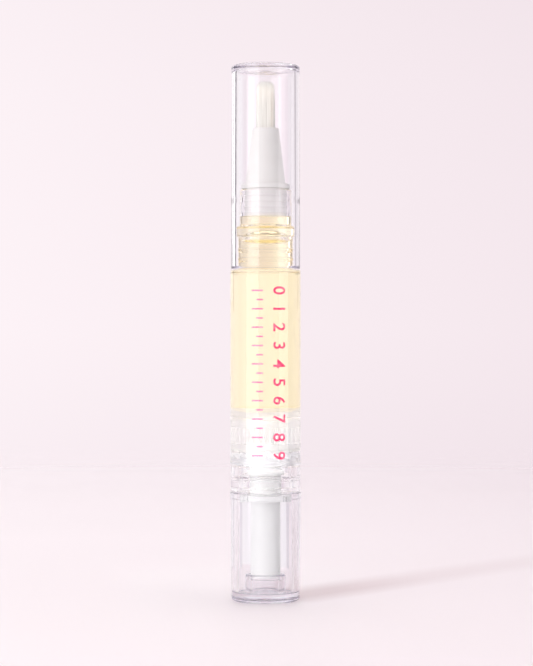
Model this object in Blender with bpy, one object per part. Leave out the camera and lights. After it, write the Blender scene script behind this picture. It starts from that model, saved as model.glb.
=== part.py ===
"""Clear twist pen for cuticle oil: a pull-off cap over a brush, a barrel of oil and a turning knob.

Turning the knob turns the drive tube, which turns the screw rod by its two flats. The rod climbs through
the fixed thread insert, and it pushes the piston, and the oil, up towards the brush.
Metres, +Z up. The pen stands on the knob, and every piece is centred on the Z axis.
"""

import math
import random

import bmesh
import bpy
from mathutils import Vector

# Fits and fineness
SEAT_GAP = 0.0003
CUT_OVERRUN = 0.001
JOIN_DEPTH = 0.0004
WELD_DISTANCE = 0.000001
SEGMENTS = 28
CORNER_STEPS = 2
SHARP_ANGLE = math.radians(35)

# Knob: the clear turning end
KNOB_HEIGHT = 0.0263
KNOB_FOOT_RADIUS = 0.00825
KNOB_TOP_RADIUS = 0.0085
KNOB_FOOT_ROUNDING = 0.0008
KNOB_LIP_STEP = 0.0001
KNOB_LIP_HEIGHT = 0.0016
KNOB_LIP_ROUNDING = 0.00015
KNOB_FLOOR = 0.0021
KNOB_FLOOR_ROUNDING = 0.0004
KNOB_SOCKET_WALL = 0.00095
KNOB_SOCKET_DEPTH = 0.0009
KNOB_SOCKET_ROUNDING = 0.0005
KNOB_LEDGE_WIDTH = 0.00045
KNOB_DIMPLE_RADIUS = 0.0019
KNOB_DIMPLE_DEPTH = 0.0003
KEY_COUNT = 4
KEY_WIDTH = 0.0012
KEY_DEPTH = 0.0005
KEY_LENGTH = 0.0014

# Screw rod: two flats along it, a snap head on top
ROD_RADIUS = 0.0022
ROD_FLAT_DEPTH = 0.00065
ROD_FOOT_CLEARANCE = 0.0005
ROD_HEAD_RADIUS = 0.002
ROD_HEAD_LENGTH = 0.0017
ROD_HEAD_TIP_RADIUS = 0.0013
ROD_SNAP_STEP = 0.0006
ROD_NECK_LENGTH = 0.0018

# Drive tube: the white core
TUBE_FOOT_HEIGHT = 0.0056
TUBE_BORE_CLEARANCE = 0.0004
TUBE_WALL = 0.00105
TUBE_FLANGE_RADIUS = 0.0063
TUBE_FLANGE_THICKNESS = 0.0014
TUBE_FLANGE_DROP = 0.0006
TUBE_JOURNAL_STEP = 0.0002
TUBE_BEAD_STEP = 0.00065
TUBE_BEAD_HEIGHT = 0.001
TUBE_BEAD_LEAD = 0.0003
TUBE_SHOULDER_HEIGHT = 0.0029
TUBE_SPINDLE_STEP = 0.00045
TUBE_SPINDLE_HEIGHT = 0.0041
TUBE_DRIVE_DEPTH = 0.0054
TUBE_ROUNDING = 0.0002
SLOT_WIDTH = 0.002
SLOT_DEPTH = 0.0004
SLOT_COUNT = 2

# Collar: the clear ring that carries the drive tube
COLLAR_HEIGHT = 0.0061
COLLAR_STEP = 0.00013
COLLAR_ROUNDING = 0.0003
COLLAR_RECESS_DEPTH = 0.001
COLLAR_WEB_THICKNESS = 0.0025
COLLAR_PLUG_WALL = 0.00055
COLLAR_PLUG_ROUNDING = 0.00015
COLLAR_GROOVE_DEPTH = 0.00012
COLLAR_GROOVE_FLANK = 0.00017
COLLAR_GROOVE_FLOOR = 0.00016
COLLAR_GROOVE_HEIGHT = 0.0027

# Ratchet ring: twelve saw teeth over three spring legs
TOOTH_COUNT = 12
TOOTH_HEIGHT = 0.001
TOOTH_STEPS = 3
RATCHET_CLEARANCE = 0.0005
RATCHET_BODY_HEIGHT = 0.0012
LEG_COUNT = 3
LEG_STEPS = 6
LEG_SWEEP = math.radians(84)
LEG_CLEARANCE = 0.0004
LEG_WIDTH = 0.00075
LEG_THICKNESS = 0.00045
LEG_ROOT_DEPTH = 0.0002
LEG_DROP = 0.0014

# Barrel: the clear body
BARREL_RADIUS = 0.00855
BARREL_LENGTH = 0.0473
BARREL_WALL = 0.0013
BARREL_FOOT_BEAD = 0.0001
BARREL_FOOT_BEAD_HEIGHT = 0.0009
SHOULDER_WALL = 0.00065
UPPER_WALL = 0.0008
SHOULDER_ROUNDING = 0.0002
SHOULDER_BORE_ROUNDING = 0.0009
CAP_SEAT_STEP = 0.0019
CAP_SEAT_HEIGHT = 0.0082
CAP_SEAT_ROUNDING = 0.0003
CAP_BEAD_COUNT = 2
CAP_BEAD_STEP = 0.00015
CAP_BEAD_WIDTH = 0.0007
CAP_BEAD_FIRST = 0.0028
CAP_BEAD_PITCH = 0.0022
NECK_RING_STEP = 0.00035
NECK_RING_HEIGHT = 0.0022
NECK_RING_ROUNDING = 0.00015
NECK_FOOT_HEIGHT = 0.0006
NECK_STEP = 0.0007
NECK_WALL = 0.0009
NECK_HEIGHT = 0.0084
NECK_ROUNDING = 0.0003
NECK_BORE_START = 0.0018
DOME_ROUNDING = 0.0006

# Thread insert: the ribbed nut that stays still in the barrel
INSERT_HEIGHT = 0.0076
INSERT_TOP_ROUNDING = 0.0011
INSERT_FOOT_ROUNDING = 0.0006
INSERT_FOOT_RECESS = 0.0002
INSERT_RIM_WALL = 0.0009
INSERT_TOOTH_STANDOUT = 0.0001
INSERT_RIB_COUNT = 30
INSERT_RIB_DEPTH = 0.0004
INSERT_RIB_RELIEF = 0.0001
INSERT_RIB_LOW = 0.0017
INSERT_RIB_HIGH = 0.0056
INSERT_WEB_THICKNESS = 0.0025
RIB_ROOT_SHARE = 0.5

# Piston: a flared bowl with a snap socket under it
PISTON_HEIGHT = 0.0025
PISTON_FLARE = 0.00135
PISTON_LIP_WIDTH = 0.0005
PISTON_LIP_HEIGHT = 0.001
PISTON_FLOOR_STEP = 0.0014
PISTON_BOWL_DEPTH = 0.0012
PISTON_BOSS_WALL = 0.0012
PISTON_BOSS_LENGTH = 0.0029
PISTON_BOSS_ROUNDING = 0.00025
PISTON_ROUNDING = 0.0005

# Brush: nylon filaments with their roots fused into one slice
BRUSH_RADIUS = 0.00225
BRUSH_ROOT_THICKNESS = 0.001
BRUSH_HEIGHT = 0.0114
STRAND_COUNT = 300
STRAND_SIDES = 3
STRAND_RADIUS = 0.00006
STRAND_TIP_RADIUS = 0.000026
STRAND_EDGE = 0.0001
STRAND_LEVEL_SHARES = (0.0, 0.45, 1.0)
STRAND_OUTER_PULL = 0.00015
STRAND_INNER_PULL = 0.00042
STRAND_BEND_POWER = 2
STRAND_TIP_SPREAD = 0.0008
STRAND_TIP_ROUND = 0.0007
STRAND_ROUND_POWER = 4
STRAND_SEED = 7

# Feed tube: carries the oil through the root of the brush
FEED_RADIUS = 0.00048
FEED_BORE_RADIUS = 0.00022
FEED_COLLAR_RADIUS = 0.0013
FEED_COLLAR_THICKNESS = 0.0006
FEED_STANDOUT = 0.0022

# Applicator: cone, flange and ringed plug in one white moulding
PLUG_LENGTH = 0.0067
PLUG_WALL = 0.0012
PLUG_RING_HEIGHT = 0.0003
PLUG_RING_WIDTH = 0.0006
PLUG_RING_COUNT = 4
PLUG_RING_FIRST = 0.0008
PLUG_RING_PITCH = 0.0014
FLANGE_STEP = 0.0004
FLANGE_THICKNESS = 0.0013
FLANGE_ROUNDING = 0.0004
FLANGE_FOOT_ROUNDING = 0.0002
CONE_FOOT_STEP = 0.0011
CONE_TIP_WALL = 0.0007
CONE_HEIGHT = 0.0135
CONE_ROUNDING = 0.0003
CONE_SOCKET_DEPTH = 0.0075
CONE_WEB_THICKNESS = 0.0012

# Cap: the clear overcap
CAP_STEP = 0.00015
CAP_TAPER = 0.0001
CAP_TOP_ROUNDING = 0.0006
CAP_MOUTH_ROUNDING = 0.00015
CAP_LEAD_STEP = 0.0002
CAP_LEAD_HEIGHT = 0.0006
CAP_UPPER_STEP = 0.0001
CAP_STEP_HEIGHT = 0.0164
CAP_STEP_LENGTH = 0.0005
CAP_BORE_TAPER = 0.00015
CAP_HEADROOM = 0.0024
CAP_CEILING = 0.0014
CAP_CEILING_ROUNDING = 0.0004
CAP_DIMPLE_RADIUS = 0.00125
CAP_DIMPLE_DEPTH = 0.00025

# Radii that follow from those above, from the axis outwards
ROD_FLAT_RADIUS = ROD_RADIUS - ROD_FLAT_DEPTH
ROD_NECK_RADIUS = ROD_HEAD_RADIUS - ROD_SNAP_STEP
TUBE_BORE_RADIUS = ROD_RADIUS + TUBE_BORE_CLEARANCE
TUBE_RADIUS = TUBE_BORE_RADIUS + TUBE_WALL
TUBE_SPINDLE_RADIUS = TUBE_RADIUS - TUBE_SPINDLE_STEP
TUBE_JOURNAL_RADIUS = TUBE_RADIUS + TUBE_JOURNAL_STEP
TUBE_BEAD_RADIUS = TUBE_JOURNAL_RADIUS + TUBE_BEAD_STEP
KNOB_BORE_RADIUS = TUBE_FLANGE_RADIUS + SEAT_GAP
KNOB_LIP_RADIUS = KNOB_TOP_RADIUS + KNOB_LIP_STEP
BARREL_BORE_RADIUS = BARREL_RADIUS - BARREL_WALL
BARREL_FIT_RADIUS = BARREL_BORE_RADIUS - SEAT_GAP
COLLAR_RADIUS = BARREL_RADIUS - COLLAR_STEP
COLLAR_PLUG_BORE_RADIUS = BARREL_FIT_RADIUS - COLLAR_PLUG_WALL
RATCHET_RADIUS = COLLAR_PLUG_BORE_RADIUS - RATCHET_CLEARANCE
PISTON_WAIST_RADIUS = BARREL_FIT_RADIUS - PISTON_FLARE
PISTON_FLOOR_RADIUS = PISTON_WAIST_RADIUS - PISTON_FLOOR_STEP
PISTON_BOSS_RADIUS = ROD_HEAD_RADIUS + SEAT_GAP + PISTON_BOSS_WALL
CAP_SEAT_RADIUS = BARREL_RADIUS - CAP_SEAT_STEP
CAP_BEAD_RADIUS = CAP_SEAT_RADIUS + CAP_BEAD_STEP
UPPER_BORE_RADIUS = CAP_SEAT_RADIUS - UPPER_WALL
NECK_RING_RADIUS = CAP_SEAT_RADIUS + NECK_RING_STEP
NECK_RADIUS = NECK_RING_RADIUS - NECK_STEP
NECK_BORE_RADIUS = NECK_RADIUS - NECK_WALL
PLUG_RING_RADIUS = NECK_BORE_RADIUS - SEAT_GAP
PLUG_RADIUS = PLUG_RING_RADIUS - PLUG_RING_HEIGHT
PLUG_BORE_RADIUS = PLUG_RADIUS - PLUG_WALL
FLANGE_RADIUS = NECK_RADIUS - FLANGE_STEP
CONE_FOOT_RADIUS = FLANGE_RADIUS - CONE_FOOT_STEP
SOCKET_RADIUS = BRUSH_RADIUS + SEAT_GAP
CONE_TIP_RADIUS = SOCKET_RADIUS + CONE_TIP_WALL
CAP_MOUTH_RADIUS = BARREL_RADIUS - CAP_STEP
CAP_TOP_RADIUS = CAP_MOUTH_RADIUS - CAP_TAPER
CAP_BORE_RADIUS = NECK_RING_RADIUS + SEAT_GAP
CAP_LEAD_RADIUS = CAP_BORE_RADIUS + CAP_LEAD_STEP
CAP_UPPER_BORE_RADIUS = CAP_BORE_RADIUS - CAP_UPPER_STEP
CAP_CEILING_RADIUS = CAP_UPPER_BORE_RADIUS - CAP_BORE_TAPER

# Levels at which the pieces sit, from the table up
ROD_SEAT = TUBE_FOOT_HEIGHT + ROD_FOOT_CLEARANCE
FLANGE_TOP_LEVEL = KNOB_HEIGHT - TUBE_FLANGE_DROP
COLLAR_SEAT = KNOB_HEIGHT + SEAT_GAP
COLLAR_TOP_LEVEL = COLLAR_SEAT + COLLAR_HEIGHT
BEAD_LEVEL = COLLAR_SEAT + COLLAR_RECESS_DEPTH + COLLAR_WEB_THICKNESS + SEAT_GAP
BEAD_TOP_LEVEL = BEAD_LEVEL + TUBE_BEAD_HEIGHT
SPINDLE_LEVEL = BEAD_TOP_LEVEL + TUBE_SHOULDER_HEIGHT
TUBE_TOP_LEVEL = SPINDLE_LEVEL + TUBE_SPINDLE_HEIGHT
RATCHET_SEAT = BEAD_TOP_LEVEL + SEAT_GAP + LEG_DROP
RATCHET_TIP_LEVEL = RATCHET_SEAT + RATCHET_BODY_HEIGHT + TOOTH_HEIGHT
INSERT_ROOT_LEVEL = RATCHET_TIP_LEVEL + SEAT_GAP + TOOTH_HEIGHT
INSERT_SEAT = INSERT_ROOT_LEVEL + INSERT_TOOTH_STANDOUT - INSERT_FOOT_RECESS
INSERT_TOP_LEVEL = INSERT_SEAT + INSERT_HEIGHT
INSERT_WEB_LEVEL = TUBE_TOP_LEVEL + SEAT_GAP
INSERT_RECESS_LEVEL = INSERT_WEB_LEVEL + INSERT_WEB_THICKNESS
COLLAR_PLUG_LEVEL = INSERT_SEAT - SEAT_GAP
PISTON_SEAT = INSERT_TOP_LEVEL + SEAT_GAP
OIL_SEAT = PISTON_SEAT + PISTON_HEIGHT + SEAT_GAP
ROD_NECK_LEVEL = PISTON_SEAT - PISTON_BOSS_LENGTH - SEAT_GAP
ROD_HEAD_LEVEL = ROD_NECK_LEVEL + ROD_NECK_LENGTH
ROD_TOP_LEVEL = ROD_HEAD_LEVEL + ROD_HEAD_LENGTH
BARREL_SEAT = COLLAR_TOP_LEVEL + SEAT_GAP
SHOULDER_LEVEL = BARREL_SEAT + BARREL_LENGTH
CAP_SEAT_LEVEL = SHOULDER_LEVEL + SEAT_GAP
NECK_RING_LEVEL = SHOULDER_LEVEL + CAP_SEAT_HEIGHT
NECK_LEVEL = NECK_RING_LEVEL + NECK_RING_HEIGHT + NECK_FOOT_HEIGHT
APPLICATOR_SEAT = NECK_LEVEL + NECK_HEIGHT + SEAT_GAP
CONE_TIP_LEVEL = APPLICATOR_SEAT + FLANGE_THICKNESS + CONE_HEIGHT
SOCKET_LEVEL = CONE_TIP_LEVEL - CONE_SOCKET_DEPTH
BRUSH_SEAT = SOCKET_LEVEL + SEAT_GAP
BRUSH_TIP_LEVEL = CONE_TIP_LEVEL + BRUSH_HEIGHT
FEED_SEAT = SOCKET_LEVEL - CONE_WEB_THICKNESS - SEAT_GAP - FEED_COLLAR_THICKNESS
CAP_CEILING_LEVEL = BRUSH_TIP_LEVEL + CAP_HEADROOM
CAP_TOP_LEVEL = CAP_CEILING_LEVEL + CAP_CEILING


def outline(corners):
    """A closed profile of (radius, height) points, from corners of (radius, height, rounding)."""
    points = []
    for i, (radius, height, rounding) in enumerate(corners):
        here = Vector((radius, height))
        if not rounding:
            points.append(here)
            continue
        back = (Vector(corners[i - 1][:2]) - here).normalized()
        ahead = (Vector(corners[(i + 1) % len(corners)][:2]) - here).normalized()
        half = back.angle(ahead) / 2
        centre = here + (back + ahead).normalized() * rounding / math.sin(half)
        start = here + back * rounding / math.tan(half) - centre
        end = here + ahead * rounding / math.tan(half) - centre
        for step in range(CORNER_STEPS + 1):
            spoke = start.lerp(end, step / CORNER_STEPS).normalized()
            points.append(centre + spoke * rounding)
    return points


def placed(name, form, finish, seat, carrier):
    """One object from a bmesh: faces out, shaded smooth, standing at its seat on the axis."""
    bmesh.ops.remove_doubles(form, verts=form.verts, dist=WELD_DISTANCE)
    bmesh.ops.recalc_face_normals(form, faces=form.faces)
    mesh = bpy.data.meshes.new(name)
    form.to_mesh(mesh)
    form.free()
    mesh.shade_smooth()
    mesh.set_sharp_from_angle(angle=SHARP_ANGLE)
    piece = bpy.data.objects.new(name, mesh)
    piece.location.z = seat
    piece.parent = carrier
    if finish:
        mesh.materials.append(finish)
    bpy.context.scene.collection.objects.link(piece)
    return piece


def turned(name, corners, finish=None, seat=0.0, carrier=None):
    """A round piece, its profile spun about Z. An edge that lies on the axis is left out."""
    form = bmesh.new()
    points = [form.verts.new((p.x, 0, p.y)) for p in outline(corners)]
    edges = [
        form.edges.new((a, b))
        for a, b in zip(points, points[1:] + points[:1])
        if a.co.x or b.co.x
    ]
    bmesh.ops.spin(
        form,
        geom=points + edges,
        cent=(0, 0, 0),
        axis=(0, 0, 1),
        angle=math.tau,
        steps=SEGMENTS,
        use_merge=True,
    )
    return placed(name, form, finish, seat, carrier)


def block(name, low, high, turn, seat, carrier):
    """A box between two corners, turned about Z: a key, or the cutter of a slot or flat."""
    form = bmesh.new()
    bmesh.ops.create_cube(form, size=1)
    for vertex in form.verts:
        vertex.co = [lo if c < 0 else hi for c, lo, hi in zip(vertex.co, low, high)]
    piece = placed(name, form, None, seat, carrier)
    piece.rotation_euler.z = turn
    return piece


def combine(piece, tool, operation):
    """A Boolean of the piece with a hidden tool."""
    tool.hide_render = True
    tool.display_type = "WIRE"
    change = piece.modifiers.new(tool.name, "BOOLEAN")
    change.operation = operation
    change.solver = "EXACT"
    change.object = tool


def flatted(name, radius, flat, low, high, seat, carrier, finish=None):
    """A round bar with two flats, square to Y."""
    form = bmesh.new()
    half = math.asin(flat / radius)
    steps = SEGMENTS // 4
    ring = []
    for side in (0, math.pi):
        for i in range(steps + 1):
            turn = side - half + 2 * half * i / steps
            ring.append(form.verts.new((radius * math.cos(turn), radius * math.sin(turn), low)))
    foot = form.faces.new(ring)
    grown = bmesh.ops.extrude_face_region(form, geom=[foot])["geom"]
    rise = [v for v in grown if isinstance(v, bmesh.types.BMVert)]
    bmesh.ops.translate(form, verts=rise, vec=(0, 0, high - low))
    return placed(name, form, finish, seat, carrier)


def saw_ring(name, inner, outer, body, seat, carrier, finish=None):
    """A flat ring with saw teeth on top: each one steps straight up, then ramps down."""
    form = bmesh.new()
    stations = TOOTH_COUNT * TOOTH_STEPS
    rings = []
    for i in range(stations):
        turn = math.tau * i / stations
        share = i % TOOTH_STEPS / TOOTH_STEPS
        levels = [0, body + TOOTH_HEIGHT * (1 - share)]
        if not share:
            levels.insert(1, body)
        rings.append(
            [
                [form.verts.new((r * math.cos(turn), r * math.sin(turn), z)) for z in levels]
                for r in (inner, outer)
            ]
        )
    for here, after in zip(rings, rings[1:] + rings[:1]):
        form.faces.new((here[0][0], here[1][0], after[1][0], after[0][0]))
        form.faces.new((here[0][-1], here[1][-1], after[1][1], after[0][1]))
        for near, far in zip(here, after):
            form.faces.new([*near, far[1], far[0]])
        if len(here[0]) > 2:
            form.faces.new((here[0][1], here[0][2], here[1][2], here[1][1]))
    return placed(name, form, finish, seat, carrier)


def material(name, colour, roughness, clear=0.0, metallic=0.0):
    """A Principled finish; clear is the share of light that passes through."""
    finish = bpy.data.materials.new(name)
    finish.use_nodes = True
    shader = finish.node_tree.nodes["Principled BSDF"]
    shader.inputs["Base Color"].default_value = (*colour, 1)
    shader.inputs["Roughness"].default_value = roughness
    shader.inputs["Transmission Weight"].default_value = clear
    shader.inputs["Metallic"].default_value = metallic
    return finish


def carrier_at(name, height):
    """An empty on the pen's axis that carries what moves together."""
    empty = bpy.data.objects.new(name, None)
    empty.location.z = height
    bpy.context.scene.collection.objects.link(empty)
    return empty


def build_knob(finish, carrier):
    """Thick clear wall, a socket boss for the drive tube's foot, and keys inside the mouth."""
    socket_bore = TUBE_RADIUS + SEAT_GAP
    socket_radius = socket_bore + KNOB_SOCKET_WALL
    socket_top = TUBE_FOOT_HEIGHT + KNOB_SOCKET_DEPTH
    ledge = TUBE_FOOT_HEIGHT - SEAT_GAP
    lip_foot = KNOB_HEIGHT - KNOB_LIP_HEIGHT
    knob = turned(
        "knob",
        [
            (0, KNOB_DIMPLE_DEPTH, 0),
            (KNOB_DIMPLE_RADIUS, KNOB_DIMPLE_DEPTH, 0),
            (KNOB_DIMPLE_RADIUS, 0, 0),
            (KNOB_FOOT_RADIUS, 0, KNOB_FOOT_ROUNDING),
            (KNOB_TOP_RADIUS, lip_foot, 0),
            (KNOB_LIP_RADIUS, lip_foot, 0),
            (KNOB_LIP_RADIUS, KNOB_HEIGHT, KNOB_LIP_ROUNDING),
            (KNOB_BORE_RADIUS, KNOB_HEIGHT, 0),
            (KNOB_BORE_RADIUS, KNOB_FLOOR, KNOB_FLOOR_ROUNDING),
            (socket_radius, KNOB_FLOOR, 0),
            (socket_radius, socket_top, KNOB_SOCKET_ROUNDING),
            (socket_bore, socket_top, 0),
            (socket_bore, ledge, 0),
            (TUBE_RADIUS - KNOB_LEDGE_WIDTH, ledge, 0),
            (TUBE_RADIUS - KNOB_LEDGE_WIDTH, KNOB_FLOOR, 0),
            (0, KNOB_FLOOR, 0),
        ],
        finish,
        carrier=carrier,
    )
    for i in range(KEY_COUNT):
        key = block(
            f"knob_key_{i}",
            (KNOB_BORE_RADIUS - KEY_DEPTH, -KEY_WIDTH / 2, FLANGE_TOP_LEVEL - KEY_LENGTH),
            (KNOB_BORE_RADIUS + JOIN_DEPTH, KEY_WIDTH / 2, FLANGE_TOP_LEVEL),
            math.tau * (i + 1 / 2) / KEY_COUNT,
            0.0,
            carrier,
        )
        combine(knob, key, "UNION")


def build_drive_tube(finish, carrier):
    """White core: foot, keyed flange, journal, snap bead, slotted shoulder and a flatted drive hole."""
    foot = TUBE_FOOT_HEIGHT
    flange_top = FLANGE_TOP_LEVEL - foot
    flange_foot = flange_top - TUBE_FLANGE_THICKNESS
    bead = BEAD_LEVEL - foot
    bead_top = BEAD_TOP_LEVEL - foot
    spindle = SPINDLE_LEVEL - foot
    top = TUBE_TOP_LEVEL - foot
    bore_top = top - TUBE_DRIVE_DEPTH
    tube = turned(
        "drive_tube",
        [
            (TUBE_BORE_RADIUS, 0, 0),
            (TUBE_RADIUS, 0, TUBE_ROUNDING),
            (TUBE_RADIUS, flange_foot, 0),
            (TUBE_FLANGE_RADIUS, flange_foot, 0),
            (TUBE_FLANGE_RADIUS, flange_top, 0),
            (TUBE_JOURNAL_RADIUS, flange_top, 0),
            (TUBE_JOURNAL_RADIUS, bead, 0),
            (TUBE_BEAD_RADIUS, bead, 0),
            (TUBE_BEAD_RADIUS, bead_top - TUBE_BEAD_LEAD, 0),
            (TUBE_BEAD_RADIUS - TUBE_BEAD_LEAD, bead_top, 0),
            (TUBE_RADIUS, bead_top, 0),
            (TUBE_RADIUS, spindle, TUBE_ROUNDING),
            (TUBE_SPINDLE_RADIUS, spindle, 0),
            (TUBE_SPINDLE_RADIUS, top, TUBE_ROUNDING),
            (0, top, 0),
            (0, bore_top, 0),
            (TUBE_BORE_RADIUS, bore_top, 0),
        ],
        finish,
        foot,
        carrier,
    )
    drive_hole = flatted(
        "drive_hole",
        ROD_RADIUS + SEAT_GAP,
        ROD_FLAT_RADIUS + SEAT_GAP,
        bore_top - CUT_OVERRUN,
        top + CUT_OVERRUN,
        foot,
        carrier,
    )
    combine(tube, drive_hole, "DIFFERENCE")
    for i in range(KEY_COUNT):
        notch = block(
            f"flange_notch_{i}",
            (
                KNOB_BORE_RADIUS - KEY_DEPTH - SEAT_GAP,
                -KEY_WIDTH / 2 - SEAT_GAP,
                flange_foot - CUT_OVERRUN,
            ),
            (
                TUBE_FLANGE_RADIUS + CUT_OVERRUN,
                KEY_WIDTH / 2 + SEAT_GAP,
                flange_top + CUT_OVERRUN,
            ),
            math.tau * (i + 1 / 2) / KEY_COUNT,
            foot,
            carrier,
        )
        combine(tube, notch, "DIFFERENCE")
    for i in range(SLOT_COUNT):
        slot = block(
            f"shoulder_slot_{i}",
            (TUBE_RADIUS - SLOT_DEPTH, -SLOT_WIDTH / 2, bead_top + SEAT_GAP),
            (TUBE_RADIUS + CUT_OVERRUN, SLOT_WIDTH / 2, spindle + CUT_OVERRUN),
            math.tau * i / SLOT_COUNT,
            foot,
            carrier,
        )
        combine(tube, slot, "DIFFERENCE")


def build_screw_rod(finish, carrier):
    """The rod's flatted shaft, with a neck and a snap head turned on top."""
    seat = ROD_SEAT
    shaft_top = ROD_NECK_LEVEL - seat
    head_foot = ROD_HEAD_LEVEL - seat
    head_top = ROD_TOP_LEVEL - seat
    rod = flatted("screw_rod", ROD_RADIUS, ROD_FLAT_RADIUS, 0, shaft_top, seat, carrier, finish)
    head = turned(
        "rod_head",
        [
            (0, shaft_top - JOIN_DEPTH, 0),
            (ROD_NECK_RADIUS, shaft_top - JOIN_DEPTH, 0),
            (ROD_NECK_RADIUS, head_foot, 0),
            (ROD_HEAD_RADIUS, head_foot, 0),
            (ROD_HEAD_RADIUS, (head_foot + head_top) / 2, 0),
            (ROD_HEAD_TIP_RADIUS, head_top, 0),
            (0, head_top, 0),
        ],
        seat=seat,
        carrier=carrier,
    )
    combine(rod, head, "UNION")


def build_collar(finish):
    """Clear ring: a web bored for the drive tube, and a thin plug that enters the barrel."""
    web_top = COLLAR_RECESS_DEPTH + COLLAR_WEB_THICKNESS
    plug_top = COLLAR_PLUG_LEVEL - COLLAR_SEAT
    web_bore = TUBE_JOURNAL_RADIUS + SEAT_GAP
    groove = COLLAR_RADIUS - COLLAR_GROOVE_DEPTH
    groove_foot = COLLAR_GROOVE_HEIGHT + COLLAR_GROOVE_FLANK
    groove_top = groove_foot + COLLAR_GROOVE_FLOOR
    turned(
        "collar",
        [
            (KNOB_BORE_RADIUS, 0, 0),
            (COLLAR_RADIUS, 0, COLLAR_ROUNDING),
            (COLLAR_RADIUS, COLLAR_GROOVE_HEIGHT, 0),
            (groove, groove_foot, 0),
            (groove, groove_top, 0),
            (COLLAR_RADIUS, groove_top + COLLAR_GROOVE_FLANK, 0),
            (COLLAR_RADIUS, COLLAR_HEIGHT, COLLAR_PLUG_ROUNDING),
            (BARREL_FIT_RADIUS, COLLAR_HEIGHT, 0),
            (BARREL_FIT_RADIUS, plug_top, COLLAR_PLUG_ROUNDING),
            (COLLAR_PLUG_BORE_RADIUS, plug_top, 0),
            (COLLAR_PLUG_BORE_RADIUS, web_top, COLLAR_ROUNDING),
            (web_bore, web_top, 0),
            (web_bore, COLLAR_RECESS_DEPTH, 0),
            (KNOB_BORE_RADIUS, COLLAR_RECESS_DEPTH, 0),
        ],
        finish,
        COLLAR_SEAT,
    )


def build_leg(name, start, seat, carrier):
    """One spring leg: a flat strip that leaves the ring's underside and curls down round the tube."""
    inner = TUBE_RADIUS + LEG_CLEARANCE
    form = bmesh.new()
    rings = []
    for i in range(LEG_STEPS + 1):
        share = i / LEG_STEPS
        turn = start + LEG_SWEEP * share
        top = LEG_ROOT_DEPTH - (LEG_ROOT_DEPTH + LEG_DROP - LEG_THICKNESS) * share
        corners = [(inner, top), (inner + LEG_WIDTH, top)]
        corners += [(r, z - LEG_THICKNESS) for r, z in reversed(corners)]
        rings.append(
            [form.verts.new((r * math.cos(turn), r * math.sin(turn), z)) for r, z in corners]
        )
    for here, after in zip(rings, rings[1:]):
        for k in range(len(here)):
            form.faces.new((here[k - 1], here[k], after[k], after[k - 1]))
    form.faces.new(rings[0])
    form.faces.new(rings[-1])
    return placed(name, form, None, seat, carrier)


def build_ratchet_ring(finish, carrier):
    """Click ring: saw teeth up, spring legs down, and two keys that slide in the tube's slots."""
    bore = TUBE_RADIUS + SEAT_GAP
    ring = saw_ring(
        "ratchet_ring",
        bore,
        RATCHET_RADIUS,
        RATCHET_BODY_HEIGHT,
        RATCHET_SEAT,
        carrier,
        finish,
    )
    key_half = SLOT_WIDTH / 2 - SEAT_GAP
    key_top = min(RATCHET_BODY_HEIGHT, SPINDLE_LEVEL - RATCHET_SEAT)
    for i in range(SLOT_COUNT):
        key = block(
            f"ratchet_key_{i}",
            (TUBE_RADIUS - SLOT_DEPTH + SEAT_GAP, -key_half, 0),
            (bore + JOIN_DEPTH, key_half, key_top),
            math.tau * i / SLOT_COUNT,
            RATCHET_SEAT,
            carrier,
        )
        combine(ring, key, "UNION")
    for i in range(LEG_COUNT):
        leg = build_leg(f"spring_leg_{i}", math.tau * i / LEG_COUNT, RATCHET_SEAT, carrier)
        combine(ring, leg, "UNION")


def build_thread_insert(finish):
    """Ribbed nut: a rounded body, ribs round it, saw teeth under it, and a bore for the rod's thread."""
    seat = INSERT_SEAT
    radius = BARREL_FIT_RADIUS
    root = radius - INSERT_RIB_DEPTH
    insert = turned(
        "thread_insert",
        [
            (0, INSERT_FOOT_RECESS, 0),
            (radius - INSERT_RIM_WALL, INSERT_FOOT_RECESS, 0),
            (radius - INSERT_RIM_WALL, 0, 0),
            (radius, 0, INSERT_FOOT_ROUNDING),
            (radius, INSERT_RIB_LOW, 0),
            (root, INSERT_RIB_LOW, 0),
            (root, INSERT_RIB_HIGH, 0),
            (radius, INSERT_RIB_HIGH, 0),
            (radius, INSERT_HEIGHT, INSERT_TOP_ROUNDING),
            (0, INSERT_HEIGHT, 0),
        ],
        finish,
        seat,
    )
    combine(insert, build_ribs(root, radius - INSERT_RIB_RELIEF), "UNION")
    tooth_base = seat + INSERT_FOOT_RECESS + JOIN_DEPTH
    teeth = saw_ring(
        "insert_teeth",
        TUBE_RADIUS + SEAT_GAP,
        RATCHET_RADIUS,
        tooth_base - INSERT_ROOT_LEVEL,
        tooth_base,
        None,
    )
    teeth.rotation_euler.x = math.pi
    combine(insert, teeth, "UNION")
    spindle_bore = TUBE_SPINDLE_RADIUS + SEAT_GAP
    rod_bore = ROD_RADIUS + SEAT_GAP
    recess = PISTON_BOSS_RADIUS + SEAT_GAP
    web = INSERT_WEB_LEVEL - seat
    web_top = INSERT_RECESS_LEVEL - seat
    low = RATCHET_TIP_LEVEL - seat - CUT_OVERRUN
    high = INSERT_HEIGHT + CUT_OVERRUN
    bore = turned(
        "insert_bore",
        [
            (0, low, 0),
            (spindle_bore, low, 0),
            (spindle_bore, web, 0),
            (rod_bore, web, 0),
            (rod_bore, web_top, 0),
            (recess, web_top, 0),
            (recess, high, 0),
            (0, high, 0),
        ],
        seat=seat,
    )
    combine(insert, bore, "DIFFERENCE")


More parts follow.
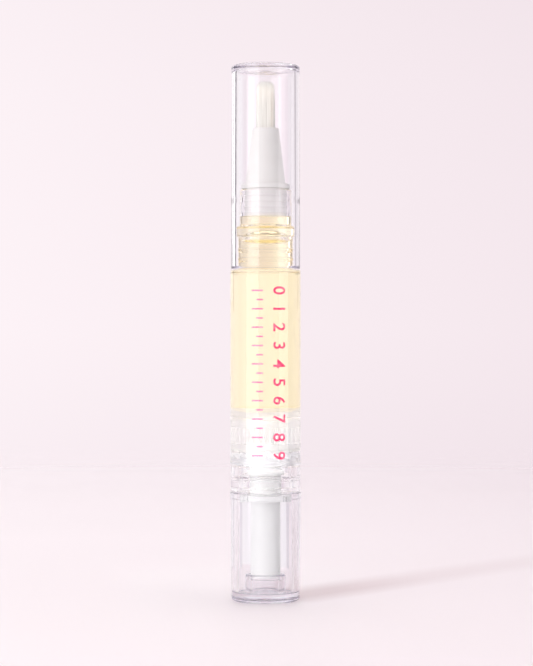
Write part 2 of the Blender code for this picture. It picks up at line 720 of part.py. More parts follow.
def build_ribs(root, radius):
    """The ribs as one prism: tips at the barrel's bore, roots sunk a little into the body."""
    form = bmesh.new()
    pitch = math.tau / INSERT_RIB_COUNT
    low = root - JOIN_DEPTH
    ring = []
    for i in range(INSERT_RIB_COUNT):
        for share, r in ((0, low), (RIB_ROOT_SHARE, low), (RIB_ROOT_SHARE, radius), (1, radius)):
            turn = pitch * (i + share)
            ring.append(form.verts.new((r * math.cos(turn), r * math.sin(turn), 0)))
    foot = form.faces.new(ring)
    grown = bmesh.ops.extrude_face_region(form, geom=[foot])["geom"]
    rise = [v for v in grown if isinstance(v, bmesh.types.BMVert)]
    bmesh.ops.translate(form, verts=form.verts, vec=(0, 0, INSERT_RIB_LOW - JOIN_DEPTH))
    height = INSERT_RIB_HIGH - INSERT_RIB_LOW + 2 * JOIN_DEPTH
    bmesh.ops.translate(form, verts=rise, vec=(0, 0, height))
    return placed("insert_ribs", form, None, INSERT_SEAT, None)


def build_piston(finish, carrier):
    """Natural seal: a bowl that flares to a wiping lip, and a boss with a snap socket for the rod."""
    floor = PISTON_HEIGHT - PISTON_BOWL_DEPTH
    socket_top = ROD_TOP_LEVEL + SEAT_GAP - PISTON_SEAT
    snap_top = ROD_HEAD_LEVEL - SEAT_GAP - PISTON_SEAT
    neck_hole = ROD_NECK_RADIUS + SEAT_GAP
    socket = ROD_HEAD_RADIUS + SEAT_GAP
    turned(
        "piston",
        [
            (neck_hole, -PISTON_BOSS_LENGTH, 0),
            (PISTON_BOSS_RADIUS, -PISTON_BOSS_LENGTH, PISTON_BOSS_ROUNDING),
            (PISTON_BOSS_RADIUS, 0, 0),
            (PISTON_WAIST_RADIUS, 0, PISTON_ROUNDING),
            (BARREL_FIT_RADIUS, PISTON_HEIGHT - PISTON_LIP_HEIGHT, PISTON_ROUNDING),
            (BARREL_FIT_RADIUS, PISTON_HEIGHT, 0),
            (BARREL_FIT_RADIUS - PISTON_LIP_WIDTH, PISTON_HEIGHT, 0),
            (PISTON_FLOOR_RADIUS, floor, PISTON_ROUNDING),
            (0, floor, 0),
            (0, socket_top, 0),
            (socket, socket_top, 0),
            (socket, snap_top, 0),
            (neck_hole, snap_top, 0),
        ],
        finish,
        PISTON_SEAT,
        carrier,
    )


def build_barrel(finish):
    """Clear body: label wall, shoulder, beaded cap seat, ring and neck, over one stepped bore."""
    bead_radius = BARREL_RADIUS + BARREL_FOOT_BEAD
    seat_top = NECK_RING_LEVEL - BARREL_SEAT
    ring_top = seat_top + NECK_RING_HEIGHT
    neck = NECK_LEVEL - BARREL_SEAT
    neck_top = neck + NECK_HEIGHT
    bore_top = BARREL_LENGTH - SHOULDER_WALL
    beads = []
    for i in range(CAP_BEAD_COUNT):
        middle = BARREL_LENGTH + CAP_BEAD_FIRST + CAP_BEAD_PITCH * i
        beads += [
            (CAP_SEAT_RADIUS, middle - CAP_BEAD_WIDTH / 2, 0),
            (CAP_BEAD_RADIUS, middle, 0),
            (CAP_SEAT_RADIUS, middle + CAP_BEAD_WIDTH / 2, 0),
        ]
    turned(
        "barrel",
        [
            (BARREL_BORE_RADIUS, 0, 0),
            (bead_radius, 0, 0),
            (bead_radius, BARREL_FOOT_BEAD_HEIGHT, 0),
            (BARREL_RADIUS, BARREL_FOOT_BEAD_HEIGHT, 0),
            (BARREL_RADIUS, BARREL_LENGTH, SHOULDER_ROUNDING),
            (CAP_SEAT_RADIUS, BARREL_LENGTH, 0),
            *beads,
            (CAP_SEAT_RADIUS, seat_top, CAP_SEAT_ROUNDING),
            (NECK_RING_RADIUS, seat_top, 0),
            (NECK_RING_RADIUS, ring_top, NECK_RING_ROUNDING),
            (NECK_RADIUS, neck, 0),
            (NECK_RADIUS, neck_top, NECK_ROUNDING),
            (NECK_BORE_RADIUS, neck_top, 0),
            (NECK_BORE_RADIUS, ring_top - NECK_BORE_START, DOME_ROUNDING),
            (UPPER_BORE_RADIUS, seat_top - NECK_BORE_START, DOME_ROUNDING),
            (UPPER_BORE_RADIUS, bore_top, 0),
            (BARREL_BORE_RADIUS, bore_top, SHOULDER_BORE_ROUNDING),
        ],
        finish,
        BARREL_SEAT,
    )


def build_oil(finish):
    """The fill, from the piston's bowl up to the plug in the neck."""
    upper = UPPER_BORE_RADIUS - SEAT_GAP
    step = SHOULDER_LEVEL - SHOULDER_WALL - SEAT_GAP - OIL_SEAT
    dome_foot = NECK_RING_LEVEL - NECK_BORE_START - SEAT_GAP - OIL_SEAT
    dome_top = dome_foot + NECK_RING_HEIGHT
    top = APPLICATOR_SEAT - PLUG_LENGTH - SEAT_GAP - OIL_SEAT
    turned(
        "oil",
        [
            (0, -PISTON_BOWL_DEPTH, 0),
            (PISTON_FLOOR_RADIUS, -PISTON_BOWL_DEPTH, 0),
            (BARREL_FIT_RADIUS - PISTON_LIP_WIDTH - SEAT_GAP, 0, 0),
            (BARREL_FIT_RADIUS, 0, 0),
            (BARREL_FIT_RADIUS, step, SHOULDER_BORE_ROUNDING),
            (upper, step, 0),
            (upper, dome_foot, DOME_ROUNDING),
            (PLUG_RING_RADIUS, dome_top, 0),
            (PLUG_RING_RADIUS, top, 0),
            (0, top, 0),
        ],
        finish,
        OIL_SEAT,
    )


def build_applicator(finish):
    """White moulding: ringed plug, flange and cone, bored right through for the oil and the brush."""
    tip = FLANGE_THICKNESS + CONE_HEIGHT
    socket_floor = tip - CONE_SOCKET_DEPTH
    web_foot = socket_floor - CONE_WEB_THICKNESS
    feed_hole = FEED_RADIUS + SEAT_GAP
    rings = []
    for i in range(PLUG_RING_COUNT):
        middle = -PLUG_LENGTH + PLUG_RING_FIRST + PLUG_RING_PITCH * i
        rings += [
            (PLUG_RADIUS, middle - PLUG_RING_WIDTH / 2, 0),
            (PLUG_RING_RADIUS, middle, 0),
            (PLUG_RADIUS, middle + PLUG_RING_WIDTH / 2, 0),
        ]
    turned(
        "applicator",
        [
            (PLUG_BORE_RADIUS, -PLUG_LENGTH, 0),
            (PLUG_RADIUS, -PLUG_LENGTH, 0),
            *rings,
            (PLUG_RADIUS, 0, 0),
            (FLANGE_RADIUS, 0, FLANGE_FOOT_ROUNDING),
            (FLANGE_RADIUS, FLANGE_THICKNESS, FLANGE_ROUNDING),
            (CONE_FOOT_RADIUS, FLANGE_THICKNESS, 0),
            (CONE_TIP_RADIUS, tip, CONE_ROUNDING),
            (SOCKET_RADIUS, tip, 0),
            (SOCKET_RADIUS, socket_floor, 0),
            (feed_hole, socket_floor, 0),
            (feed_hole, web_foot, 0),
            (SOCKET_RADIUS, web_foot, 0),
            (PLUG_BORE_RADIUS, 0, 0),
        ],
        finish,
        APPLICATOR_SEAT,
    )


def build_feed_tube(finish):
    """A fine tube with a collar under the applicator's web, ending among the bristles."""
    top = CONE_TIP_LEVEL + FEED_STANDOUT - FEED_SEAT
    turned(
        "feed_tube",
        [
            (FEED_BORE_RADIUS, 0, 0),
            (FEED_COLLAR_RADIUS, 0, 0),
            (FEED_COLLAR_RADIUS, FEED_COLLAR_THICKNESS, 0),
            (FEED_RADIUS, FEED_COLLAR_THICKNESS, 0),
            (FEED_RADIUS, top, 0),
            (FEED_BORE_RADIUS, top, 0),
        ],
        finish,
        FEED_SEAT,
    )


def build_strand(form, radius, turn, low, high, pull):
    """One filament: a fine pointed prism that leans a little towards the axis."""
    spokes = [Vector((math.cos(a), math.sin(a), 0)) for a in corner_turns(turn)]
    out = Vector((math.cos(turn), math.sin(turn), 0))
    rings = []
    for share in STRAND_LEVEL_SHARES:
        thickness = STRAND_RADIUS + (STRAND_TIP_RADIUS - STRAND_RADIUS) * share
        centre = out * (radius - pull * share**STRAND_BEND_POWER)
        centre.z = low + (high - low) * share
        rings.append([form.verts.new(centre + spoke * thickness) for spoke in spokes])
    for here, after in zip(rings, rings[1:]):
        for k in range(STRAND_SIDES):
            form.faces.new((here[k - 1], here[k], after[k], after[k - 1]))
    form.faces.new(rings[0])
    form.faces.new(rings[-1])


def corner_turns(turn):
    """The angles of a filament's corners round its own middle."""
    return [turn + math.tau * k / STRAND_SIDES for k in range(STRAND_SIDES)]


def build_bristles(finish):
    """A slice of fused roots, and filaments set out in a sunflower spiral round the feed tube."""
    hole = FEED_RADIUS + SEAT_GAP
    root = turned(
        "bristles",
        [
            (hole, 0, 0),
            (BRUSH_RADIUS, 0, 0),
            (BRUSH_RADIUS, BRUSH_ROOT_THICKNESS, 0),
            (hole, BRUSH_ROOT_THICKNESS, 0),
        ],
        finish,
        BRUSH_SEAT,
    )
    form = bmesh.new()
    chance = random.Random(STRAND_SEED)
    golden = math.pi * (3 - math.sqrt(5))
    first = hole + STRAND_EDGE
    last = BRUSH_RADIUS - STRAND_EDGE
    low = BRUSH_ROOT_THICKNESS / 2
    full = BRUSH_TIP_LEVEL - BRUSH_SEAT
    for i in range(STRAND_COUNT):
        radius = math.sqrt(first**2 + (last**2 - first**2) * (i + 1 / 2) / STRAND_COUNT)
        outwards = (radius - first) / (last - first)
        pull = STRAND_INNER_PULL + (STRAND_OUTER_PULL - STRAND_INNER_PULL) * outwards
        short = STRAND_TIP_ROUND * outwards**STRAND_ROUND_POWER + STRAND_TIP_SPREAD * chance.random()
        build_strand(form, radius, golden * i, low, full - short, pull)
    strands = placed("strands", form, None, BRUSH_SEAT, None)
    combine(root, strands, "UNION")


def build_cap(finish, carrier):
    """Clear overcap: bored to slide over the barrel's ring, and closed by a dimpled ceiling."""
    top = CAP_TOP_LEVEL - CAP_SEAT_LEVEL
    ceiling = CAP_CEILING_LEVEL - CAP_SEAT_LEVEL
    turned(
        "cap",
        [
            (CAP_LEAD_RADIUS, 0, 0),
            (CAP_MOUTH_RADIUS, 0, CAP_MOUTH_ROUNDING),
            (CAP_TOP_RADIUS, top, CAP_TOP_ROUNDING),
            (0, top, 0),
            (0, ceiling + CAP_DIMPLE_DEPTH, 0),
            (CAP_DIMPLE_RADIUS, ceiling + CAP_DIMPLE_DEPTH, 0),
            (CAP_DIMPLE_RADIUS, ceiling, 0),
            (CAP_CEILING_RADIUS, ceiling, CAP_CEILING_ROUNDING),
            (CAP_UPPER_BORE_RADIUS, CAP_STEP_HEIGHT + CAP_STEP_LENGTH, 0),
            (CAP_BORE_RADIUS, CAP_STEP_HEIGHT, 0),
            (CAP_BORE_RADIUS, CAP_LEAD_HEIGHT, 0),
        ],
        finish,
        CAP_SEAT_LEVEL,
        carrier,
    )


def build():
    """Clear the scene, make the finishes and the carriers, then build every piece."""
    for thing in list(bpy.data.objects):
        bpy.data.objects.remove(thing, do_unlink=True)
    clear = material("clear_copolyester", (0.95, 0.93, 0.95), 0.05, clear=1.0)
    white = material("white_polypropylene", (0.86, 0.85, 0.85), 0.35)
    natural = material("natural_polypropylene", (0.88, 0.88, 0.86), 0.4, clear=0.6)
    acetal = material("natural_acetal", (0.9, 0.89, 0.86), 0.3)
    nylon = material("nylon_filament", (0.85, 0.82, 0.76), 0.45)
    golden = material("golden_oil", (0.95, 0.8, 0.4), 0.02, clear=1.0)
    knob_axis = carrier_at("knob_axis", 0.0)
    rod_axis = carrier_at("rod_axis", 0.0)
    rod_axis.parent = knob_axis
    piston_axis = carrier_at("piston_axis", 0.0)
    cap_axis = carrier_at("cap_axis", 0.0)
    build_knob(clear, knob_axis)
    build_drive_tube(white, knob_axis)
    build_ratchet_ring(acetal, knob_axis)
    build_screw_rod(acetal, rod_axis)
    build_collar(clear)
    build_barrel(clear)
    build_thread_insert(natural)
    build_piston(natural, piston_axis)
    build_oil(golden)
    build_applicator(white)
    build_feed_tube(natural)
    build_bristles(nylon)
    build_cap(clear, cap_axis)


build()
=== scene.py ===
"""A clear twist pen for cuticle oil, standing on its turning knob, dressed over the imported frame.

Sizes are in millimetres unless a name says otherwise, and heights are measured from the table.
"""

import math
import random

import bmesh
import bpy
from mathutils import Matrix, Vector


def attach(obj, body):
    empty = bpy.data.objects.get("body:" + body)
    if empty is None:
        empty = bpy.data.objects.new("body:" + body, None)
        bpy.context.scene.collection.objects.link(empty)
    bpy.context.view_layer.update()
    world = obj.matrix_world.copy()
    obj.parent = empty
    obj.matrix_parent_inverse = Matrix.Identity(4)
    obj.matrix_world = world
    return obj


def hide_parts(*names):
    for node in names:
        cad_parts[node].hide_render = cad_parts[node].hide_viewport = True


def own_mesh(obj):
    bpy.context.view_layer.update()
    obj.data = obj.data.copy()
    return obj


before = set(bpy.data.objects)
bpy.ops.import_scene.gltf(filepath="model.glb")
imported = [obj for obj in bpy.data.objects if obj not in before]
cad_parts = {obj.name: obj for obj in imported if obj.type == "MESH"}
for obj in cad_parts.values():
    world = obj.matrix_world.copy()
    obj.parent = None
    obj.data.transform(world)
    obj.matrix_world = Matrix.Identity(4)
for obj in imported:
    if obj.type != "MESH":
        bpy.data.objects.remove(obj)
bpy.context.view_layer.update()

scene = bpy.context.scene

# The camera stands level with the middle of the pen, half a metre off, with a long lens. So the foot is
# seen a little from above and the top of the cap a little from below. Light may cross many clear walls
# on its way.
MM = 0.001
PIXELS_TALL = 666
FOCAL_PIXELS = 2050
SENSOR_LONG = 36
CAMERA_AWAY = 499.1
CAMERA_HEIGHT = 65.0
CAMERA_ASIDE = 0.24
CLIP_NEAR, CLIP_FAR = 10, 50000
CLEAR_BOUNCES = 64
STRAIGHT_PASSES = 32
BRIGHTEST_BOUNCE = 4.0

camera = bpy.data.objects.new("camera", bpy.data.cameras.new("camera"))
scene.collection.objects.link(camera)
camera.data.sensor_width = SENSOR_LONG
camera.data.lens = FOCAL_PIXELS * SENSOR_LONG / PIXELS_TALL
camera.data.clip_start, camera.data.clip_end = CLIP_NEAR * MM, CLIP_FAR * MM
camera.location = (CAMERA_ASIDE * MM, -CAMERA_AWAY * MM, CAMERA_HEIGHT * MM)
camera.rotation_euler = (math.pi / 2, 0, 0)
scene.camera = camera
scene.view_settings.view_transform = "Standard"
scene.cycles.caustics_refractive = False
scene.cycles.caustics_reflective = False
scene.cycles.max_bounces = CLEAR_BOUNCES
scene.cycles.transmission_bounces = CLEAR_BOUNCES
scene.cycles.glossy_bounces = CLEAR_BOUNCES
scene.cycles.transparent_max_bounces = STRAIGHT_PASSES
scene.cycles.sample_clamp_indirect = BRIGHTEST_BOUNCE


# The studio: a pale pink sweep, palest on the left and at the level of the horizon, and a soft light from
# every side. Glass and gloss show the same pink, brighter beside the pen and greyer far out to the side,
# which is what draws the edges of the clear walls.
SWEEP_LEFT = (0.985, 0.895, 0.930)
SWEEP_RIGHT = (0.915, 0.810, 0.855)
SWEEP_SPREAD = 0.13
SWEEP_RISE_STOPS = (
    (0.0, (0.97, 0.965, 0.97)),
    (0.47, (0.97, 0.965, 0.97)),
    (0.50, (1, 1, 1)),
    (0.56, (0.99, 0.99, 0.99)),
    (0.60, (0.965, 0.96, 0.963)),
    (1.0, (0.965, 0.96, 0.963)),
)
SIDE_STOPS = (
    (0.0, (1, 1, 1)),
    (0.13, (1, 1, 1)),
    (0.20, (1.06, 1.12, 1.10)),
    (0.60, (1.03, 1.08, 1.06)),
    (0.90, (0.96, 0.97, 0.98)),
    (0.965, (0.82, 0.80, 0.85)),
    (1.0, (0.46, 0.44, 0.52)),
)
AMBIENT = (0.15, 0.14, 0.145)


def ramp(tree, factor, stops):
    """A colour ramp over the stops, fed by the factor."""
    node = tree.nodes.new("ShaderNodeValToRGB")
    elements = node.color_ramp.elements
    for element, (place, colour) in zip(elements, (stops[0], stops[-1])):
        element.position, element.color = place, (*colour, 1)
    for place, colour in stops[1:-1]:
        elements.new(place).color = (*colour, 1)
    tree.links.new(factor, node.inputs["Fac"])
    return node.outputs["Color"]


def math_node(tree, operation, *values):
    """A maths node; each value is a socket or a number."""
    node = tree.nodes.new("ShaderNodeMath")
    node.operation = operation
    for socket, value in zip(node.inputs, values):
        if isinstance(value, bpy.types.NodeSocket):
            tree.links.new(value, socket)
        else:
            socket.default_value = value
    return node.outputs[0]


def blended(tree, mode, factor, first, second):
    """A colour mix; each colour is a socket or a constant, and so is the factor."""
    node = tree.nodes.new("ShaderNodeMix")
    node.data_type, node.blend_type = "RGBA", mode
    for label, value in (("Factor", factor), ("A", first), ("B", second)):
        socket = node.inputs[label]
        if isinstance(value, bpy.types.NodeSocket):
            tree.links.new(value, socket)
        else:
            socket.default_value = value if isinstance(value, (int, float)) else (*value, 1)
    return node.outputs["Result"]


def mixed_surface(tree, factor, first, second):
    """A mix of two shaders, each given by its output."""
    node = tree.nodes.new("ShaderNodeMixShader")
    for socket, value in zip(node.inputs, (factor, first, second)):
        tree.links.new(value, socket)
    return node.outputs[0]


world = bpy.data.worlds.new("studio")
scene.world = world
world.use_nodes = True
tree = world.node_tree
tree.nodes.clear()
direction = tree.nodes.new("ShaderNodeTexCoord").outputs["Generated"]
split = tree.nodes.new("ShaderNodeSeparateXYZ")
tree.links.new(direction, split.inputs[0])
rise = math_node(tree, "MULTIPLY_ADD", split.outputs["Z"], 0.5, 0.5)
across = math_node(tree, "MULTIPLY_ADD", split.outputs["X"], 0.5 / SWEEP_SPREAD, 0.5)
aside = math_node(tree, "ABSOLUTE", split.outputs["X"])
path = tree.nodes.new("ShaderNodeLightPath")
mirrored = math_node(tree, "SUBTRACT", 1.0, path.outputs["Is Camera Ray"])
sweep = ramp(tree, across, ((0.0, SWEEP_LEFT), (1.0, SWEEP_RIGHT)))
sweep = blended(tree, "MULTIPLY", 1.0, sweep, ramp(tree, rise, SWEEP_RISE_STOPS))
sweep = blended(tree, "MULTIPLY", mirrored, sweep, ramp(tree, aside, SIDE_STOPS))
seen = tree.nodes.new("ShaderNodeBackground")
tree.links.new(sweep, seen.inputs["Color"])
soft = tree.nodes.new("ShaderNodeBackground")
soft.inputs["Color"].default_value = (*AMBIENT, 1)
shown = math_node(tree, "MAXIMUM", path.outputs["Is Camera Ray"], path.outputs["Is Glossy Ray"])
shown = math_node(tree, "MAXIMUM", shown, path.outputs["Is Transmission Ray"])
surface = mixed_surface(tree, shown, soft.outputs[0], seen.outputs[0])
tree.links.new(surface, tree.nodes.new("ShaderNodeOutputWorld").inputs["Surface"])


# The floor: the sweep's paper, matt with a faint sheen, that fades out into the world's colour. Painted
# light makes it a little paler on the left, towards the key lamp. The pen's shade on it falls to the right
# and away; it is painted, because the lamps' light goes straight through the clear plastics.
FLOOR_RADIUS = 900
FLOOR_SIDES = 96
FLOOR_LEVEL = -0.02
FLOOR_FADE = (120, 700)
FLOOR_COLOUR = (0.98, 0.895, 0.925)
FLOOR_ROUGHNESS = 0.42
FLOOR_SPECULAR = 0.2
PAINTED_LIGHT_REACH = 130
PAINTED_LIGHT_STOPS = ((0.0, (1.02, 1.025, 1.02)), (0.45, (1.0, 1.0, 1.0)), (1.0, (0.93, 0.915, 0.925)))
SHADE_AHEAD, SHADE_ACROSS = (0.66, 0.75, 0), (0.75, -0.66, 0)
SHADE_COLOUR = (0.80, 0.735, 0.735)
SHADE_LONG = 180
SHADE_STOPS = (
    (0.0, (0, 0, 0)),
    (0.03, (1, 1, 1)),
    (0.16, (0.95, 0.95, 0.95)),
    (0.35, (0.42, 0.42, 0.42)),
    (1.0, (0, 0, 0)),
)
SHADE_EDGE = (3, 13)
SHADE_EDGE_STOPS = ((0.0, (1, 1, 1)), (0.5, (0.5, 0.5, 0.5)), (1.0, (0, 0, 0)))


def new_material(name):
    """An empty node material, its node tree and its output."""
    finish = bpy.data.materials.new(name)
    finish.use_nodes = True
    finish.node_tree.nodes.clear()
    return finish, finish.node_tree, finish.node_tree.nodes.new("ShaderNodeOutputMaterial")


def principled(tree, colour, roughness, **sockets):
    """A Principled shader; the other sockets are named with underscores for spaces."""
    shader = tree.nodes.new("ShaderNodeBsdfPrincipled")
    shader.inputs["Base Color"].default_value = (*colour, 1)
    shader.inputs["Roughness"].default_value = roughness
    for name, value in sockets.items():
        shader.inputs[name.replace("_", " ")].default_value = value
    return shader


def dotted(tree, vector, direction):
    """How far a place in metres lies along a direction, in millimetres."""
    node = tree.nodes.new("ShaderNodeVectorMath")
    node.operation = "DOT_PRODUCT"
    tree.links.new(vector, node.inputs[0])
    node.inputs[1].default_value = [v / MM for v in direction]
    return node.outputs["Value"]


def scaled(tree, value, low, high):
    """A value's share of the way from low to high."""
    return math_node(tree, "DIVIDE", math_node(tree, "SUBTRACT", value, low), high - low)


finish, tree, output = new_material("paper_sweep")
paper = principled(tree, FLOOR_COLOUR, FLOOR_ROUGHNESS, Specular_IOR_Level=FLOOR_SPECULAR)
place = tree.nodes.new("ShaderNodeNewGeometry").outputs["Position"]
# Painted light: the paper's colour is paler on the left, towards the key lamp, and darker on the right.
tone = ramp(tree, scaled(tree, dotted(tree, place, (1, 0, 0)), -PAINTED_LIGHT_REACH, PAINTED_LIGHT_REACH), PAINTED_LIGHT_STOPS)
tone = blended(tree, "MULTIPLY", 1.0, FLOOR_COLOUR, tone)
length = ramp(tree, scaled(tree, dotted(tree, place, SHADE_AHEAD), 0, SHADE_LONG), SHADE_STOPS)
side = math_node(tree, "ABSOLUTE", dotted(tree, place, SHADE_ACROSS))
edge = ramp(tree, scaled(tree, side, *SHADE_EDGE), SHADE_EDGE_STOPS)
cast = math_node(tree, "MULTIPLY", length, edge)
tone = blended(tree, "MIX", cast, tone, blended(tree, "MULTIPLY", 1.0, tone, SHADE_COLOUR))
tree.links.new(tone, paper.inputs["Base Color"])
reach = tree.nodes.new("ShaderNodeVectorMath")
reach.operation = "LENGTH"
tree.links.new(place, reach.inputs[0])
fade = tree.nodes.new("ShaderNodeMapRange")
fade.interpolation_type = "SMOOTHSTEP"
fade.inputs["From Min"].default_value = FLOOR_FADE[0] * MM
fade.inputs["From Max"].default_value = FLOOR_FADE[1] * MM
tree.links.new(reach.outputs["Value"], fade.inputs["Value"])
gone = tree.nodes.new("ShaderNodeBsdfTransparent")
surface = mixed_surface(tree, fade.outputs["Result"], paper.outputs[0], gone.outputs[0])
tree.links.new(surface, output.inputs["Surface"])

mesh = bpy.data.meshes.new("floor")
form = bmesh.new()
bmesh.ops.create_circle(form, cap_ends=True, segments=FLOOR_SIDES, radius=FLOOR_RADIUS * MM)
form.to_mesh(mesh)
form.free()
mesh.materials.append(finish)
floor = bpy.data.objects.new("floor", mesh)
scene.collection.objects.link(floor)
floor.location.z = FLOOR_LEVEL * MM
floor.visible_shadow = False


# The lamps: a tall soft box in front on the left, a narrow strip behind on the left that edges the clear
# walls, and a broad, dimmer fill on the right. Each has a name, a bearing in degrees from the camera's side
# with left negative, a distance, a width, a length, a height, a level and a colour.
LAMPS = (
    ("key", -44, 620, 480, 1100, 90, 1.35, (1.0, 1.0, 1.0)),
    ("edge_strip", -143, 620, 40, 500, 350, 2.0, (1.0, 1.0, 1.0)),
    ("fill", 62, 700, 420, 700, 120, 1.1, (1.0, 0.97, 0.98)),
)


def stood_at(thing, bearing, distance, height):
    """Stands a thing at a bearing round the pen, its -Z side towards the axis."""
    turn = math.radians(bearing)
    thing.location = Vector((math.sin(turn) * distance, -math.cos(turn) * distance, height)) * MM
    thing.rotation_euler = (math.pi / 2, 0, turn)
    scene.collection.objects.link(thing)


for name, bearing, distance, width, tall, height, level, colour in LAMPS:
    lamp = bpy.data.lights.new(name, "AREA")
    lamp.shape = "RECTANGLE"
    lamp.size, lamp.size_y = width * MM, tall * MM
    lamp.color = colour
    lamp.energy = level * math.pi * width * tall * MM**2
    holder = bpy.data.objects.new(name, lamp)
    stood_at(holder, bearing, distance, height)
    holder.visible_camera = False


# The wash: broad, soft light from all round that reaches the white parts inside the clear walls, and is
# strongest from above and from the left. Gloss and glass don't show it. Each has a name, a bearing, a
# tilt (0 shines down and 180 up), a spread in degrees and a level.
WASHES = (
    ("wash_left", -52, 90, 40, 1.25),
    ("wash_front", 10, 90, 120, 0.65),
    ("wash_right", 75, 90, 90, 0.4),
    ("wash_behind", 180, 90, 150, 1.0),
    ("wash_above", 0, 0, 160, 1.6),
    ("wash_below", 0, 180, 90, 1.2),
)
for name, bearing, tilt, spread, level in WASHES:
    sun = bpy.data.lights.new(name, "SUN")
    sun.angle = math.radians(spread)
    sun.energy = level
    sun.cycles.use_multiple_importance_sampling = False
    wash = bpy.data.objects.new(name, sun)
    stood_at(wash, bearing, CAMERA_AWAY, CAMERA_HEIGHT)
    wash.rotation_euler.x = math.radians(tilt)
    wash.visible_camera = wash.visible_glossy = wash.visible_transmission = False


# The cards: two grey flags far behind on either side that draw the dark edges in the clear walls, and
# four pale cards close behind the knob that draw its bright ones. Only gloss and glass show them. Each
# has a name, a bearing, a distance, a width, a length, a height and a colour.
CARDS = (
    ("flag_left", -131, 600, 120, 500, 350, (0.10, 0.10, 0.12)),
    ("flag_right", 132, 600, 120, 500, 350, (0.5, 0.46, 0.5)),
    ("bounce_left", -162, 75, 30, 33, 17.5, (1.0, 0.965, 0.985)),
    ("bounce_right", 169, 75, 16, 36, 15, (0.96, 0.92, 0.945)),
    ("edge_card_left", -149, 45, 7, 28, 17, (0.80, 0.75, 0.80)),
    ("edge_card_right", 157, 45, 5, 28, 17, (0.72, 0.66, 0.71)),
)


def glowing(name, colour):
    """A plain card that shows its colour as it is, under any light."""
    finish, tree, output = new_material(name)
    glow = tree.nodes.new("ShaderNodeEmission")
    glow.inputs["Color"].default_value = (*colour, 1)
    tree.links.new(glow.outputs[0], output.inputs["Surface"])
    return finish


for name, bearing, distance, width, tall, height, colour in CARDS:
    mesh = bpy.data.meshes.new(name)
    half_wide, half_tall = width * MM / 2, tall * MM / 2
    corners = [(x * half_wide, y * half_tall, 0) for x, y in ((-1, -1), (1, -1), (1, 1), (-1, 1))]
    mesh.from_pydata(corners, [], [(0, 1, 2, 3)])
    mesh.materials.append(glowing(name, colour))
    card = bpy.data.objects.new(name, mesh)
    stood_at(card, bearing, distance, height)
    card.visible_camera = card.visible_diffuse = card.visible_shadow = False


# The foot's shade: a dark flat ring on the paper under the edge of the knob. It is seen only through the
# clear base, where it stands for the shade that the foot's rim keeps under it.
FOOT_SHADE_RADII = (7.6, 9.6)
FOOT_SHADE_LEVEL = -0.01
FOOT_SHADE_SIDES = 96
FOOT_SHADE_COLOUR = (0.22, 0.21, 0.28)


def about_axis(radius, turn, height):
    """A place in metres, from a radius, a turn about the pen's axis and a height."""
    return (radius * math.cos(turn) * MM, radius * math.sin(turn) * MM, height * MM)


form = bmesh.new()
turns = [math.tau * k / FOOT_SHADE_SIDES for k in range(FOOT_SHADE_SIDES)]
inner, outer = [
    [form.verts.new(about_axis(radius, turn, FOOT_SHADE_LEVEL)) for turn in turns]
    for radius in FOOT_SHADE_RADII
]
for k in range(FOOT_SHADE_SIDES):
    form.faces.new([inner[k], inner[k - 1], outer[k - 1], outer[k]])
mesh = bpy.data.meshes.new("foot_shade")
form.to_mesh(mesh)
form.free()
mesh.materials.append(glowing("foot_shade", FOOT_SHADE_COLOUR))
shade = bpy.data.objects.new("foot_shade", mesh)
scene.collection.objects.link(shade)
shade.visible_camera = shade.visible_diffuse = shade.visible_shadow = shade.visible_glossy = False


# Knob: the clear turning end, injection moulded in copolyester, with a thick wall, a socket boss for
# the drive tube's foot, four keys in its mouth and a gate mark under its floor.
KNOB_FOOT_RADIUS, KNOB_RADIUS = 8.25, 8.6
KNOB_FLOOR, KNOB_TOP = 2.1, 26.3
BOSS_RADIUS, BOSS_TOP = 4.9, 6.5
SOCKET_RADIUS, SOCKET_FLOOR, RECESS_RADIUS = 3.95, 5.3, 3.2
MOUTH_RADIUS = 6.6
KEYS = 4
KEY_RADIUS = 6.1
KEY_HALF_TURN = math.radians(6)
FLANGE_FOOT, FLANGE_TOP = 24.3, 25.7
GATE_RADIUS, GATE_DEPTH = 1.9, 0.3
GATE_STEPS = 8

SEGMENTS = 240
ARC_STEPS = 6
SMOOTH_ANGLE = math.radians(32)
MERGED_WITHIN = 0.00005

CLEAR_IOR = 1.55
CLEAR_COLOUR = (0.992, 0.988, 0.994)
CLEAR_ROUGHNESS = 0.012
CLEAR_SHADE = (0.985, 0.981, 0.984)
CLEAR_PASSES = (0.62, 0.60, 0.72)
KNOB_DENSITY = 30.0


def plain(corner):
    """A corner's place; a radius or a height that changes with the turn is taken at turn nought."""
    return Vector([value(0.0) if callable(value) else value for value in corner[:2]])


def rounded(corners):
    """Profile points from corners of (radius, height, rounding); one without a rounding stays sharp."""
    points = []
    for i, corner in enumerate(corners):
        if len(corner) < 3:
            points.append(corner)
            continue
        here = plain(corner)
        back = (plain(corners[i - 1]) - here).normalized()
        ahead = (plain(corners[(i + 1) % len(corners)]) - here).normalized()
        half = back.angle(ahead) / 2
        centre = here + (back + ahead).normalized() * corner[2] / math.sin(half)
        start = here + back * corner[2] / math.tan(half) - centre
        end = here + ahead * corner[2] / math.tan(half) - centre
        for step in range(ARC_STEPS + 1):
            spoke = start.lerp(end, step / ARC_STEPS).normalized() * corner[2]
            points.append(tuple(centre + spoke))
    return points


